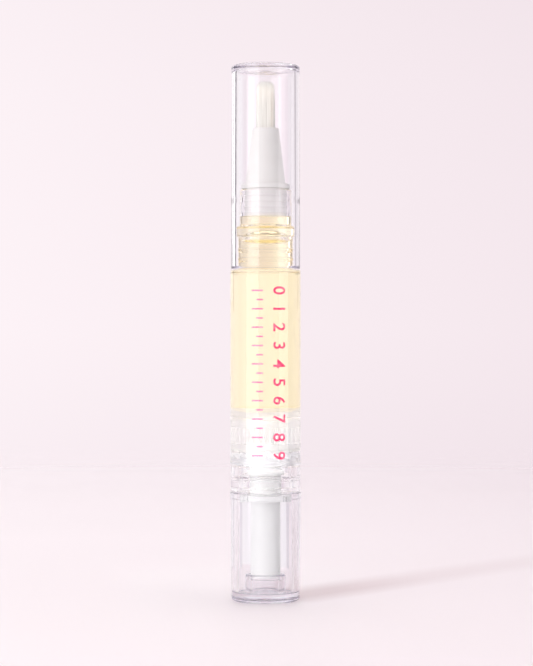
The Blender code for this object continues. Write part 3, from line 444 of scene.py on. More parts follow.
def turned(profile, segments=SEGMENTS):
    """A solid spun from a closed profile of (radius, height). Either may be a function of the turn."""
    form = bmesh.new()
    rings = []
    for radius, height in profile:
        ring = []
        for k in range(segments):
            turn = math.tau * k / segments
            r = radius(turn) if callable(radius) else radius
            z = height(turn) if callable(height) else height
            ring.append(form.verts.new(about_axis(r, turn, z)))
            if not callable(radius) and r == 0:
                break
        rings.append(ring)
    for low, high in zip(rings, rings[1:] + rings[:1]):
        if len(low) == 1 and len(high) == 1:
            continue
        for k in range(segments):
            n = (k + 1) % segments
            loop = [low[k % len(low)], low[n % len(low)], high[n % len(high)], high[k % len(high)]]
            form.faces.new(list(dict.fromkeys(loop)))
    bmesh.ops.remove_doubles(form, verts=form.verts, dist=MERGED_WITHIN * MM)
    bmesh.ops.dissolve_degenerate(form, edges=form.edges, dist=MERGED_WITHIN * MM)
    bmesh.ops.recalc_face_normals(form, faces=form.faces)
    return form


def finished(name, form, finishes, smooth=SMOOTH_ANGLE):
    """A shown piece made of a form, in metres, with its finishes."""
    mesh = bpy.data.meshes.new(name)
    form.to_mesh(mesh)
    form.free()
    mesh.shade_smooth()
    mesh.set_sharp_from_angle(angle=smooth)
    for item in finishes:
        mesh.materials.append(item)
    piece = bpy.data.objects.new(name, mesh)
    scene.collection.objects.link(piece)
    return piece


def gate_mark(radius, depth, level):
    """The shallow round hollow that a mould's gate leaves, from its middle outwards."""
    shares = [step / GATE_STEPS for step in range(GATE_STEPS + 1)]
    return [(radius * share, level + depth * (1 - share**2)) for share in shares]


def keyed(round_radius, key_radius, half_turn):
    """A radius that changes to another at each key."""

    def radius(turn):
        gaps = [(turn - math.tau * (i + 0.5) / KEYS + math.pi) % math.tau - math.pi for i in range(KEYS)]
        return key_radius if min(abs(gap) for gap in gaps) < half_turn else round_radius

    return radius


def lamp_passing(tree, shader, output, shade):
    """Lets the lamps' light through a surface to what is inside or behind it, a little dimmed."""
    through = tree.nodes.new("ShaderNodeBsdfTransparent")
    through.inputs["Color"].default_value = (*shade, 1)
    path = tree.nodes.new("ShaderNodeLightPath")
    surface = mixed_surface(tree, path.outputs["Is Shadow Ray"], shader.outputs[0], through.outputs[0])
    tree.links.new(surface, output.inputs["Surface"])


def absorbing(tree, output, passes, density):
    """Fills a surface with a colour that deepens the further light goes through it."""
    bulk = tree.nodes.new("ShaderNodeVolumeAbsorption")
    bulk.inputs["Color"].default_value = (*passes, 1)
    bulk.inputs["Density"].default_value = density
    tree.links.new(bulk.outputs[0], output.inputs["Volume"])


def polished_clear(name, ior, colour=CLEAR_COLOUR, roughness=CLEAR_ROUGHNESS, shade=CLEAR_SHADE, density=0):
    """Polished clear plastic; a density makes it greyer where light goes a long way through it."""
    finish, tree, output = new_material(name)
    shader = principled(tree, colour, roughness, IOR=ior, Transmission_Weight=1.0)
    lamp_passing(tree, shader, output, shade)
    if density:
        absorbing(tree, output, CLEAR_PASSES, density)
    return finish


thick_clear = polished_clear("clear_copolyester_thick", CLEAR_IOR, density=KNOB_DENSITY)
key_face = keyed(MOUTH_RADIUS, KEY_RADIUS, KEY_HALF_TURN)
form = turned(
    rounded(
        [
            *gate_mark(GATE_RADIUS, GATE_DEPTH, 0),
            (KNOB_FOOT_RADIUS, 0, 0.8),
            (8.5, 24.7),
            (KNOB_RADIUS, 24.75, 0.05),
            (KNOB_RADIUS, KNOB_TOP, 0.15),
            (MOUTH_RADIUS, KNOB_TOP, 0.05),
            (MOUTH_RADIUS, FLANGE_TOP),
            (key_face, FLANGE_TOP),
            (key_face, FLANGE_FOOT),
            (MOUTH_RADIUS, FLANGE_FOOT),
            (MOUTH_RADIUS, KNOB_FLOOR, 0.3),
            (BOSS_RADIUS, KNOB_FLOOR, 0.2),
            (BOSS_RADIUS, BOSS_TOP, 0.5),
            (SOCKET_RADIUS, BOSS_TOP, 0.1),
            (SOCKET_RADIUS, SOCKET_FLOOR),
            (RECESS_RADIUS, SOCKET_FLOOR),
            (RECESS_RADIUS, KNOB_FLOOR),
            (0, KNOB_FLOOR),
        ]
    )
)
knob = finished("knob_clear", form, [thick_clear])
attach(knob, "knob")
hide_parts("knob")


# Drive tube: the white core, moulded in polypropylene. Its foot sits in the knob's boss, its notched
# flange in the knob's mouth, and its snap bead holds it down through the collar.
TUBE_RADIUS, TUBE_BORE = 3.65, 2.6
TUBE_FOOT, TUBE_SHOULDER, TUBE_TOP = 5.6, 34.3, 38.4
JOURNAL_RADIUS = 3.85
SNAP_RADIUS, SNAP_FOOT, SNAP_TOP = 4.5, 30.4, 31.4
TIP_RADIUS = 3.2
FLANGE_RADIUS, NOTCH_RADIUS, FLANGE_RING = 6.3, 5.8, 5.7
NOTCH_HALF_TURN = KEY_HALF_TURN * 1.2
HOLE_RADIUS, HOLE_FLAT, HOLE_FOOT = 2.5, 1.85, 33.0

WHITE = (0.96, 0.95, 0.945)
WHITE_ROUGHNESS = 0.32
WHITE_SCATTER = 0.35
POLYPROPYLENE_IOR = 1.49
SCATTER_DEPTH = 0.5
CLOUD_SCALE, CLOUD_DETAIL = 180, 3
CLOUD_STOPS = (0.35, 0.65)
CLOUD_DIM = 0.975
GRAIN_SCALE = 3000
GRAIN_HEIGHT = 0.01
GRAIN_STRENGTH = 0.25


def speckled(tree, coordinates, scale, detail=2):
    """A soft noise over a place in metres."""
    noise = tree.nodes.new("ShaderNodeTexNoise")
    noise.inputs["Scale"].default_value = scale
    noise.inputs["Detail"].default_value = detail
    tree.links.new(coordinates, noise.inputs["Vector"])
    return noise.outputs["Fac"]


def grained(tree, shader, coordinates):
    """Gives a shader the very fine grain of a polished tool."""
    bump = tree.nodes.new("ShaderNodeBump")
    bump.inputs["Strength"].default_value = GRAIN_STRENGTH
    bump.inputs["Distance"].default_value = GRAIN_HEIGHT * MM
    tree.links.new(speckled(tree, coordinates, GRAIN_SCALE), bump.inputs["Height"])
    tree.links.new(bump.outputs["Normal"], shader.inputs["Normal"])


def moulded(name, colour, roughness, scatter=0.0, **sockets):
    """Moulded plastic: a faint cloudiness in its colour, and the grain of its tool."""
    finish, tree, output = new_material(name)
    shader = principled(tree, colour, roughness, **sockets)
    coordinates = tree.nodes.new("ShaderNodeTexCoord").outputs["Object"]
    cloud = speckled(tree, coordinates, CLOUD_SCALE, CLOUD_DETAIL)
    dim = tuple(c * CLOUD_DIM for c in colour)
    tree.links.new(ramp(tree, cloud, tuple(zip(CLOUD_STOPS, (dim, colour)))), shader.inputs["Base Color"])
    grained(tree, shader, coordinates)
    if scatter:
        shader.inputs["Subsurface Weight"].default_value = scatter
        shader.inputs["Subsurface Radius"].default_value = (1.0, 1.0, 1.0)
        shader.inputs["Subsurface Scale"].default_value = SCATTER_DEPTH * MM
    tree.links.new(shader.outputs[0], output.inputs["Surface"])
    return finish


def flatted(radius, flat):
    """A round radius with two flats, square to Y."""
    return lambda turn: min(radius, flat / max(abs(math.sin(turn)), 0.001))


white = moulded("white_polypropylene", WHITE, WHITE_ROUGHNESS, WHITE_SCATTER, IOR=POLYPROPYLENE_IOR)
notch = keyed(FLANGE_RADIUS, NOTCH_RADIUS, NOTCH_HALF_TURN)
drive_hole = flatted(HOLE_RADIUS, HOLE_FLAT)
form = turned(
    rounded(
        [
            (TUBE_BORE, TUBE_FOOT),
            (TUBE_RADIUS, TUBE_FOOT, 0.2),
            (TUBE_RADIUS, FLANGE_FOOT, 0.1),
            (FLANGE_RING, FLANGE_FOOT),
            (notch, FLANGE_FOOT),
            (notch, FLANGE_TOP),
            (FLANGE_RING, FLANGE_TOP),
            (JOURNAL_RADIUS, FLANGE_TOP),
            (JOURNAL_RADIUS, SNAP_FOOT),
            (SNAP_RADIUS, SNAP_FOOT, 0.1),
            (SNAP_RADIUS, 31.1),
            (4.2, SNAP_TOP),
            (TUBE_RADIUS, SNAP_TOP),
            (TUBE_RADIUS, TUBE_SHOULDER, 0.15),
            (TIP_RADIUS, TUBE_SHOULDER),
            (TIP_RADIUS, TUBE_TOP, 0.2),
            (drive_hole, TUBE_TOP),
            (drive_hole, HOLE_FOOT),
            (TUBE_BORE, HOLE_FOOT),
        ]
    )
)
tube = finished("drive_tube_white", form, [white])
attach(tube, "knob")
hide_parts("drive_tube")


# Collar: the clear ring between barrel and knob, moulded in copolyester with a fine groove round it. Its
# web carries the drive tube, and its plug is pressed into the barrel.
COLLAR_RADIUS, COLLAR_FOOT, COLLAR_TOP = 8.42, 26.6, 32.7
GROOVE_RADIUS = 8.3
COLLAR_PLUG_RADIUS, COLLAR_PLUG_TOP = 7.18, 36.2
COLLAR_BORE = 6.4
WEB_BORE, WEB_FOOT, WEB_TOP = 4.15, 27.6, 30.1

clear = polished_clear("clear_copolyester", CLEAR_IOR)
form = turned(
    rounded(
        [
            (MOUTH_RADIUS, COLLAR_FOOT),
            (COLLAR_RADIUS, COLLAR_FOOT, 0.3),
            (COLLAR_RADIUS, 29.3),
            (GROOVE_RADIUS, 29.47),
            (GROOVE_RADIUS, 29.63),
            (COLLAR_RADIUS, 29.8),
            (COLLAR_RADIUS, COLLAR_TOP, 0.15),
            (COLLAR_PLUG_RADIUS, COLLAR_TOP, 0.05),
            (COLLAR_PLUG_RADIUS, COLLAR_PLUG_TOP, 0.15),
            (COLLAR_BORE, COLLAR_PLUG_TOP, 0.05),
            (COLLAR_BORE, WEB_TOP, 0.3),
            (WEB_BORE, WEB_TOP, 0.05),
            (WEB_BORE, WEB_FOOT, 0.05),
            (MOUTH_RADIUS, WEB_FOOT, 0.1),
        ]
    )
)
collar = finished("collar_clear", form, [clear])
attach(collar, "barrel")
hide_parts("collar")


# Ratchet ring: the click ring, moulded in acetal, which slides on the drive tube and turns with it.
# Twelve saw teeth look up at the thread insert's, and three spring legs under it press it there. It, the
# insert, the rod and the piston throw no shadow, so that they stay pale behind the clear wall.
TEETH = 12
TOOTH = 1.0
TEETH_INNER, TEETH_OUTER = 3.95, 5.9
TEETH_FOOT, TEETH_BASE = 33.1, 34.3
LEGS = 3
LEG_TURN = math.radians(84)
LEG_STEPS = 24
LEG_INNER, LEG_OUTER = 4.05, 4.8
LEG_START = 33.3
LEG_THICK = 0.45
LEG_DROP = 1.6

ACETAL = (0.74, 0.745, 0.76)
ACETAL_ROUGHNESS = 0.4
ACETAL_IOR = 1.48
NATURAL_BODY = 0.35
NATURAL_SPECULAR = 0.1


def saw(base, rise):
    """A height that steps up at each tooth and then ramps down."""
    return lambda turn: base + rise * (1 - (turn * TEETH / math.tau) % 1.0)


acetal = moulded(
    "natural_acetal",
    ACETAL,
    ACETAL_ROUGHNESS,
    IOR=ACETAL_IOR,
    Alpha=NATURAL_BODY,
    Specular_IOR_Level=NATURAL_SPECULAR,
)
ring_teeth = saw(TEETH_BASE, TOOTH)
form = turned(
    [
        (TEETH_INNER, TEETH_FOOT),
        (TEETH_OUTER, TEETH_FOOT),
        (TEETH_OUTER, ring_teeth),
        (TEETH_INNER, ring_teeth),
    ]
)
for i in range(LEGS):
    sections = []
    for k in range(LEG_STEPS + 1):
        share = k / LEG_STEPS
        turn = math.tau * i / LEGS + LEG_TURN * share
        top = LEG_START - (LEG_DROP - LEG_THICK) * share
        foot = top - LEG_THICK
        corners = ((LEG_INNER, top), (LEG_OUTER, top), (LEG_OUTER, foot), (LEG_INNER, foot))
        sections.append([form.verts.new(about_axis(r, turn, z)) for r, z in corners])
    for here, after in zip(sections, sections[1:]):
        for k in range(4):
            form.faces.new((here[k - 1], here[k], after[k], after[k - 1]))
    form.faces.new(sections[0])
    form.faces.new(sections[-1])
bmesh.ops.recalc_face_normals(form, faces=form.faces)
ratchet = finished("ratchet_ring_teeth", form, [acetal])
ratchet.visible_shadow = False
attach(ratchet, "knob")
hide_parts("ratchet_ring")


# Thread insert: the ribbed nut in natural polypropylene, pressed into the barrel. Saw teeth under it
# face the ratchet ring, and the rod climbs through its bore.
INSERT_TEETH, INSERT_TEETH_TOP, INSERT_SEAT = 35.6, 36.65, 36.7
INSERT_FOOT, INSERT_TOP = 36.5, 44.1
INSERT_RADIUS, INSERT_MOUTH, INSERT_BORE = 7.15, 3.8, 3.5
SCREW_BORE, SCREW_FOOT, SCREW_TOP = 2.5, 38.7, 41.2
RIBS = 30
RIB_TIP, RIB_ROOT = 7.0, 6.6
RIB_FOOT, RIB_TOP = 38.25, 42.05
RIB_HALF_WIDTH, RIB_FLANK = 0.30, 0.08

NATURAL = (0.77, 0.755, 0.74)
NATURAL_ROUGHNESS = 0.5


def bounded(value):
    """A value, held between nought and one."""
    return min(max(value, 0), 1)


def ribbed(tip, root):
    """A radius that stands out at each rib, with sloped flanks."""

    def radius(turn):
        share = turn * RIBS / math.tau % 1.0
        return root + (tip - root) * bounded((RIB_HALF_WIDTH - abs(share - 0.5)) / RIB_FLANK)

    return radius


natural = moulded(
    "natural_polypropylene",
    NATURAL,
    NATURAL_ROUGHNESS,
    IOR=POLYPROPYLENE_IOR,
    Alpha=NATURAL_BODY,
    Specular_IOR_Level=NATURAL_SPECULAR,
)
rib = ribbed(RIB_TIP, RIB_ROOT)
insert_teeth = saw(INSERT_TEETH, TOOTH)
form = turned(
    rounded(
        [
            (INSERT_BORE, INSERT_SEAT),
            (TEETH_INNER, INSERT_SEAT),
            (TEETH_INNER, INSERT_TEETH_TOP),
            (TEETH_INNER, insert_teeth),
            (TEETH_OUTER, insert_teeth),
            (TEETH_OUTER, INSERT_TEETH_TOP),
            (TEETH_OUTER, INSERT_SEAT),
            (6.1, INSERT_SEAT),
            (6.1, INSERT_FOOT),
            (INSERT_RADIUS, INSERT_FOOT, 0.5),
            (INSERT_RADIUS, 38.1, 0.1),
            (RIB_TIP, 38.2),
            (rib, RIB_FOOT),
            (rib, RIB_TOP),
            (RIB_TIP, 42.1),
            (INSERT_RADIUS, 42.15, 0.05),
            (INSERT_RADIUS, INSERT_TOP, 1.1),
            (INSERT_MOUTH, INSERT_TOP, 0.1),
            (INSERT_MOUTH, SCREW_TOP),
            (SCREW_BORE, SCREW_TOP),
            (SCREW_BORE, SCREW_FOOT),
            (INSERT_BORE, SCREW_FOOT),
        ]
    )
)
insert = finished("thread_insert_ribbed", form, [natural])
insert.visible_shadow = False
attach(insert, "barrel")
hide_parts("thread_insert")


# Screw rod: acetal, with a coarse thread of 2 mm pitch cut away by two flats, and a snap head that
# the piston's socket grips.
PITCH = 2.0
ROD_RADIUS, ROD_FLAT = 2.2, 1.55
THREAD_DEPTH = 0.32
CREST_HALF_WIDTH, CREST_FLANK = 0.36, 0.12
ROD_FOOT, ROD_TOP = 6.1, 41.2
ROD_STEP = 0.125
ROD_SEGMENTS = 48
ROD_NECK, ROD_HEAD = 1.4, 2.0
HEAD_FOOT, HEAD_TOP = 43.0, 44.7


def threaded(height):
    """The rod's outline at a height: a rounded thread, cut by the flats."""

    def radius(turn):
        share = (height / PITCH - turn / math.tau) % 1.0
        crest = bounded((CREST_HALF_WIDTH - abs(share - 0.5)) / CREST_FLANK)
        return flatted(ROD_RADIUS - THREAD_DEPTH * (1 - crest), ROD_FLAT)(turn)

    return radius


levels = [ROD_FOOT + ROD_STEP * i for i in range(round((ROD_TOP - ROD_FOOT) / ROD_STEP) + 1)]
form = turned(
    rounded(
        [
            (0, ROD_FOOT),
            *[(threaded(level), level) for level in levels],
            (ROD_NECK, ROD_TOP),
            (ROD_NECK, HEAD_FOOT),
            (ROD_HEAD, HEAD_FOOT, 0.1),
            (ROD_HEAD, 43.85),
            (1.3, HEAD_TOP, 0.1),
            (0, HEAD_TOP),
        ]
    ),
    segments=ROD_SEGMENTS,
)
rod = finished("screw_rod_threaded", form, [acetal])
rod.visible_shadow = False
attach(rod, "rod")
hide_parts("screw_rod")


# Piston: the seal under the oil, moulded in natural polypropylene. Its socket snaps over the rod's head,
# and its bowl flares to a thin lip that wipes the barrel's bore.
PISTON_FOOT, PISTON_NECK, PISTON_RADIUS = 41.5, 44.4, 3.5
PISTON_MOUTH, PISTON_SOCKET = 1.7, 2.3
PISTON_SOCKET_FOOT, PISTON_SOCKET_TOP = 42.7, 45.0
LIP_RADIUS, LIP_INNER, LIP_TOP = 7.2, 6.7, 46.9
BOWL_RADIUS, BOWL_FLOOR = 4.2, 45.7

form = turned(
    rounded(
        [
            (PISTON_MOUTH, PISTON_FOOT),
            (PISTON_RADIUS, PISTON_FOOT, 0.25),
            (PISTON_RADIUS, PISTON_NECK, 0.1),
            (5.6, PISTON_NECK, 0.5),
            (LIP_RADIUS, 45.9, 0.5),
            (LIP_RADIUS, LIP_TOP, 0.1),
            (LIP_INNER, LIP_TOP, 0.1),
            (BOWL_RADIUS, BOWL_FLOOR, 0.5),
            (0, BOWL_FLOOR),
            (0, PISTON_SOCKET_TOP),
            (PISTON_SOCKET, PISTON_SOCKET_TOP, 0.1),
            (PISTON_SOCKET, PISTON_SOCKET_FOOT),
            (PISTON_MOUTH, PISTON_SOCKET_FOOT),
        ]
    )
)
piston = finished("piston_seal", form, [natural])
piston.visible_shadow = False
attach(piston, "piston")
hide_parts("piston")


# Barrel: the clear body, moulded in copolyester, with a shoulder, a beaded seat for the cap, a ring and a
# neck. Where oil wets the bore, the wall bends light only as much as copolyester does beside oil.
BARREL_FOOT, BARREL_SHOULDER = 33.0, 80.3
FOOT_RING_RADIUS, BARREL_RADIUS = 8.65, 8.55
BORE, BORE_TOP = 7.25, 79.65
SEAT_RADIUS, SEAT_BORE = 6.65, 5.85
SEAT_BEADS, BEAD_RADIUS, BEAD_HALF = (83.1, 85.3), 6.8, 0.35
NECK_RING_RADIUS, NECK_RING_FOOT, NECK_RING_TOP = 7.1, 88.5, 90.7
NECK_RADIUS, NECK_BORE, NECK_TOP = 6.3, 5.4, 99.7
NECK_TAPER_FOOT, NECK_TAPER_TOP = 86.7, 88.9
PLUG_FOOT = 93.3
WET_RADIUS = 7.3
WET_SHOULDER = (78, 80.2)
OIL_IOR = 1.47

wetted = polished_clear("clear_copolyester_wetted", CLEAR_IOR / OIL_IOR)
beads = [
    corner
    for z in SEAT_BEADS
    for corner in (
        (SEAT_RADIUS, z - BEAD_HALF, 0.1),
        (BEAD_RADIUS, z, 0.12),
        (SEAT_RADIUS, z + BEAD_HALF, 0.1),
    )
]
form = turned(
    rounded(
        [
            (BORE, BARREL_FOOT, 0.05),
            (FOOT_RING_RADIUS, BARREL_FOOT, 0.1),
            (FOOT_RING_RADIUS, 33.9, 0.05),
            (BARREL_RADIUS, 33.95, 0.02),
            (BARREL_RADIUS, BARREL_SHOULDER, 0.2),
            (SEAT_RADIUS, BARREL_SHOULDER, 0.1),
            *beads,
            (SEAT_RADIUS, 88.3, 0.1),
            (NECK_RING_RADIUS, NECK_RING_FOOT, 0.15),
            (NECK_RING_RADIUS, NECK_RING_TOP, 0.25),
            (NECK_RADIUS, 91.2, 0.2),
            (NECK_RADIUS, NECK_TOP, 0.3),
            (NECK_BORE, NECK_TOP, 0.1),
            (NECK_BORE, PLUG_FOOT),
            (NECK_BORE, NECK_TAPER_TOP, 0.6),
            (SEAT_BORE, NECK_TAPER_FOOT, 0.6),
            (SEAT_BORE, BORE_TOP, 0.3),
            (BORE, BORE_TOP, 0.9),
        ]
    )
)
for face in form.faces:
    spot = face.calc_center_median() / MM
    faces_in = face.normal.x * spot.x + face.normal.y * spot.y < 0
    under_shoulder = WET_SHOULDER[0] < spot.z < WET_SHOULDER[1]
    beside_oil = LIP_TOP < spot.z < PLUG_FOOT and spot.xy.length < WET_RADIUS
    if beside_oil and (faces_in or under_shoulder):
        face.material_index = 1
barrel = finished("barrel_clear", form, [clear, wetted])
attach(barrel, "barrel")
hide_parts("barrel")


# Printed scale: pink ink, screen printed on the front of the barrel and turned to be read downwards. Plain
# numerals from nought to nine are in deep pink, and beside them are graduations in pale pink.
INK_DEEP = (0.77, 0.02, 0.13)
INK_PALE = (0.76, 0.14, 0.32)
INK_ROUGHNESS = 0.38
INK_IOR = 1.5
INK_PATCHES = 900
INK_THIN_STOPS = (0.4, 0.62)
INK_THINNED = 0.10
INK_THICK = 0.012
INK_RADIUS = BARREL_RADIUS + INK_THICK
WRAP_STEP = 0.25
WRAP_CUT_WITHIN = 1e-5
SCALE_TOP = 75.2
SCALE_STEP = 4.4
DIGITS = 10
PARTS = 2
NUMERAL_MIDDLE, NUMERAL_TALL = 3.44, 3.1
NUMERAL_BOLDER = 0.012
TICK_START, TICK_LONG, TICK_SHORT, TICK_WIDE = -0.61, 2.77, 1.6, 0.34


def ink(name, colour):
    """Screen ink: satin, and a little thinner in places."""
    finish, tree, output = new_material(name)
    shader = principled(tree, colour, INK_ROUGHNESS, IOR=INK_IOR)
    coordinates = tree.nodes.new("ShaderNodeTexCoord").outputs["Object"]
    thin = tuple(c + (1 - c) * INK_THINNED for c in colour)
    patchy = ramp(tree, speckled(tree, coordinates, INK_PATCHES), tuple(zip(INK_THIN_STOPS, (colour, thin))))
    tree.links.new(patchy, shader.inputs["Base Color"])
    tree.links.new(shader.outputs[0], output.inputs["Surface"])
    return finish


def printed(name, form, finish):
    """Wraps flat artwork, in (along the wall, height) millimetres, round the barrel as a film of ink."""
    reach = max(abs(v.co.x) for v in form.verts)
    for i in range(-int(reach / WRAP_STEP) - 1, int(reach / WRAP_STEP) + 2):
        whole = form.verts[:] + form.edges[:] + form.faces[:]
        place = (WRAP_STEP * i, 0, 0)
        bmesh.ops.bisect_plane(form, geom=whole, dist=WRAP_CUT_WITHIN, plane_co=place, plane_no=(1, 0, 0))
    skin = bmesh.ops.extrude_face_region(form, geom=form.faces[:])
    for v in form.verts:
        v.co.z = 0
    for v in [item for item in skin["geom"] if isinstance(item, bmesh.types.BMVert)]:
        v.co.z = INK_THICK
    for v in form.verts:
        turn, out = v.co.x / INK_RADIUS, INK_RADIUS + v.co.z
        v.co = Vector((out * math.sin(turn), -out * math.cos(turn), v.co.y)) * MM
    bmesh.ops.recalc_face_normals(form, faces=form.faces)
    piece = finished(name, form, [finish])
    piece.visible_shadow = False
    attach(piece, "barrel")


form = bmesh.new()
for digit in range(DIGITS):
    words = bpy.data.curves.new("numeral", "FONT")
    words.body = str(digit)
    words.offset = NUMERAL_BOLDER
    shape = bpy.data.objects.new("numeral", words)
    scene.collection.objects.link(shape)
    flat = bpy.data.meshes.new_from_object(shape.evaluated_get(bpy.context.evaluated_depsgraph_get()))
    bpy.data.objects.remove(shape)
    bpy.data.curves.remove(words)
    xs, ys = [v.co.x for v in flat.vertices], [v.co.y for v in flat.vertices]
    scale = NUMERAL_TALL / (max(ys) - min(ys))
    for v in flat.vertices:
        right, up = v.co.x - (max(xs) + min(xs)) / 2, v.co.y - (max(ys) + min(ys)) / 2
        v.co = (NUMERAL_MIDDLE + up * scale, SCALE_TOP - SCALE_STEP * digit - right * scale, 0)
    form.from_mesh(flat)
    bpy.data.meshes.remove(flat)
printed("scale_numerals", form, ink("ink_deep_pink", INK_DEEP))

form = bmesh.new()
for i in range(PARTS * (DIGITS - 1) + 1):
    middle = SCALE_TOP - SCALE_STEP * i / PARTS
    far = TICK_START - (TICK_SHORT if i % PARTS else TICK_LONG)
    corners = ((far, -1), (TICK_START, -1), (TICK_START, 1), (far, 1))
    form.faces.new([form.verts.new((x, middle + s * TICK_WIDE / 2, 0)) for x, s in corners])
printed("scale_graduations", form, ink("ink_pale_pink", INK_PALE))


# Oil: pale gold, filling the bore from the piston's bowl to the plug. A little lies in the bowl and climbs
# with it, and the part in the neck holds a trapped air bubble. Beside the wetted wall it bends light no
# further, and its colour deepens with its depth.
OIL_COLOUR = (1.0, 0.922, 0.825)
OIL_SHADE = (1.0, 0.97, 0.88)
COLUMN_CLEARNESS = 0.62
COLUMN_PASSES, COLUMN_DENSITY = (1.0, 0.99, 0.0), 18.0
NECK_PASSES, NECK_DENSITY = (1.0, 0.83, 0.0), 40.0
COLOURLESS = (1, 1, 1)
SKIN = 0.01
BOWL_RIM = LIP_TOP + SKIN
OIL_SPLIT = 80.0


def oil_finish(name, clearness, colour, passes, density):
    """Oil whose colour comes from its depth; a clearness under one makes it a little cloudy."""
    finish, tree, output = new_material(name)
    shader = principled(tree, colour, 0.0, IOR=1.0, Transmission_Weight=clearness)
    lamp_passing(tree, shader, output, OIL_SHADE)
    absorbing(tree, output, passes, density)
    return finish


oil_in_bore = oil_finish(
    "golden_oil_at_the_wall", COLUMN_CLEARNESS, OIL_COLOUR, COLUMN_PASSES, COLUMN_DENSITY
)
form = turned(
    rounded(
        [
            (0, BOWL_RIM),
            (BORE - SKIN, BOWL_RIM, 0.02),
            (BORE - SKIN, BORE_TOP - SKIN, 0.9),
            (SEAT_BORE - SKIN, BORE_TOP - SKIN, 0.05),
            (SEAT_BORE - SKIN, OIL_SPLIT),
            (0, OIL_SPLIT),
        ]
    )
)
column = finished("oil_column", form, [oil_in_bore])
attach(column, "barrel")
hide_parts("oil")
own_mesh(column)

form = turned(
    rounded(
        [
            (0, BOWL_FLOOR + SKIN),
            (BOWL_RADIUS, BOWL_FLOOR + SKIN, 0.5),
            (LIP_INNER - SKIN, BOWL_RIM - SKIN),
            (0, BOWL_RIM - SKIN),
        ]
    )
)
dish = finished("oil_in_bowl", form, [oil_in_bore])
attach(dish, "piston")

oil_in_neck = oil_finish("golden_oil_in_the_neck", 1.0, COLOURLESS, NECK_PASSES, NECK_DENSITY)
form = turned(
    rounded(
        [
            (0, OIL_SPLIT + SKIN),
            (SEAT_BORE - SKIN, OIL_SPLIT + SKIN),
            (SEAT_BORE - SKIN, NECK_TAPER_FOOT, 0.6),
            (NECK_BORE - SKIN, NECK_TAPER_TOP, 0.6),
            (NECK_BORE - SKIN, PLUG_FOOT - SKIN),
            (0, PLUG_FOOT - SKIN),
        ]
    )
)
head = finished("oil_head", form, [oil_in_neck])

BUBBLE_RADIUS = 4.1
BUBBLE_MIDDLE = 88.0
BUBBLE_UP, BUBBLE_DOWN = 2.1, 1.5
BUBBLE_POWER = 0.9
BUBBLE_STEPS = 48
BUBBLE_SEGMENTS = 120
air_in_oil = polished_clear("air_in_golden_oil", 1 / OIL_IOR, COLOURLESS, 0.0, COLOURLESS)
bubble_skin = [(0, BUBBLE_MIDDLE - BUBBLE_DOWN)]
for k in range(1, BUBBLE_STEPS):
    turn = -math.pi / 2 + math.pi * k / BUBBLE_STEPS
    up = math.sin(turn)
    rise = (BUBBLE_UP if up > 0 else BUBBLE_DOWN) * math.copysign(abs(up) ** BUBBLE_POWER, up)
    bubble_skin.append((BUBBLE_RADIUS * math.cos(turn), BUBBLE_MIDDLE + rise))
bubble_skin.append((0, BUBBLE_MIDDLE + BUBBLE_UP))
bubble = finished("oil_bubble", turned(bubble_skin, segments=BUBBLE_SEGMENTS), [air_in_oil])
for piece in (head, bubble):
    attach(piece, "barrel")
    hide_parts("oil")


# Applicator: one white moulding in polypropylene with a matt finish. Its ringed plug is pressed into the
# barrel's neck, its flange stops it there, and its cone grips the brush.
PLUG_RADIUS, PLUG_BORE = 5.1, 3.6
PLUG_RINGS, PLUG_RING_RADIUS, PLUG_RING_HALF = (94.1, 95.5, 96.9, 98.3), 5.38, 0.3
STOP_RADIUS, STOP_FOOT, STOP_TOP = 5.9, 100.0, 101.3
CONE_FOOT_RADIUS, CONE_RADIUS, CONE_TOP = 4.85, 3.25, 114.8
GRIP_BORE, GRIP_FLOOR = 2.35, 107.3
FEED_BORE, FEED_WEB = 0.78, 106.1
APPLICATOR_WHITE = (0.855, 0.82, 0.81)
MATT_ROUGHNESS = 0.4

matt_white = moulded(
    "matt_white_polypropylene", APPLICATOR_WHITE, MATT_ROUGHNESS, WHITE_SCATTER, IOR=POLYPROPYLENE_IOR
)
plug_rings = [
    corner
    for z in PLUG_RINGS
    for corner in (
        (PLUG_RADIUS, z - PLUG_RING_HALF, 0.05),
        (PLUG_RING_RADIUS, z, 0.06),
        (PLUG_RADIUS, z + PLUG_RING_HALF, 0.05),
    )
]
form = turned(
    rounded(
        [
            (PLUG_BORE, PLUG_FOOT),
            (PLUG_RADIUS, PLUG_FOOT, 0.1),
            *plug_rings,
            (PLUG_RADIUS, 99.95),
            (STOP_RADIUS, STOP_FOOT, 0.2),
            (STOP_RADIUS, STOP_TOP, 0.4),
            (CONE_FOOT_RADIUS, STOP_TOP, 0.1),
            (CONE_RADIUS, CONE_TOP, 0.3),
            (GRIP_BORE, CONE_TOP, 0.1),
            (GRIP_BORE, GRIP_FLOOR),
            (FEED_BORE, GRIP_FLOOR),
            (FEED_BORE, FEED_WEB),
            (2.55, FEED_WEB),
            (PLUG_BORE, STOP_FOOT),
        ]
    )
)
applicator = finished("applicator_white", form, [matt_white])
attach(applicator, "barrel")
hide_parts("applicator")

# A small lamp in the plug stands for the glow that the oil gives its inside, which the bubble shows.
PLUG_GLOW_WATTS = 0.0005
PLUG_GLOW_RADIUS = 1.0
PLUG_GLOW_HEIGHT = 97
PLUG_GLOW_COLOUR = (1.0, 0.95, 0.85)
glow = bpy.data.lights.new("plug_glow", "POINT")
glow.energy = PLUG_GLOW_WATTS
glow.shadow_soft_size = PLUG_GLOW_RADIUS * MM
glow.color = PLUG_GLOW_COLOUR
plug_glow = bpy.data.objects.new("plug_glow", glow)
plug_glow.location.z = PLUG_GLOW_HEIGHT * MM
scene.collection.objects.link(plug_glow)
plug_glow.visible_camera = plug_glow.visible_glossy = plug_glow.visible_transmission = False


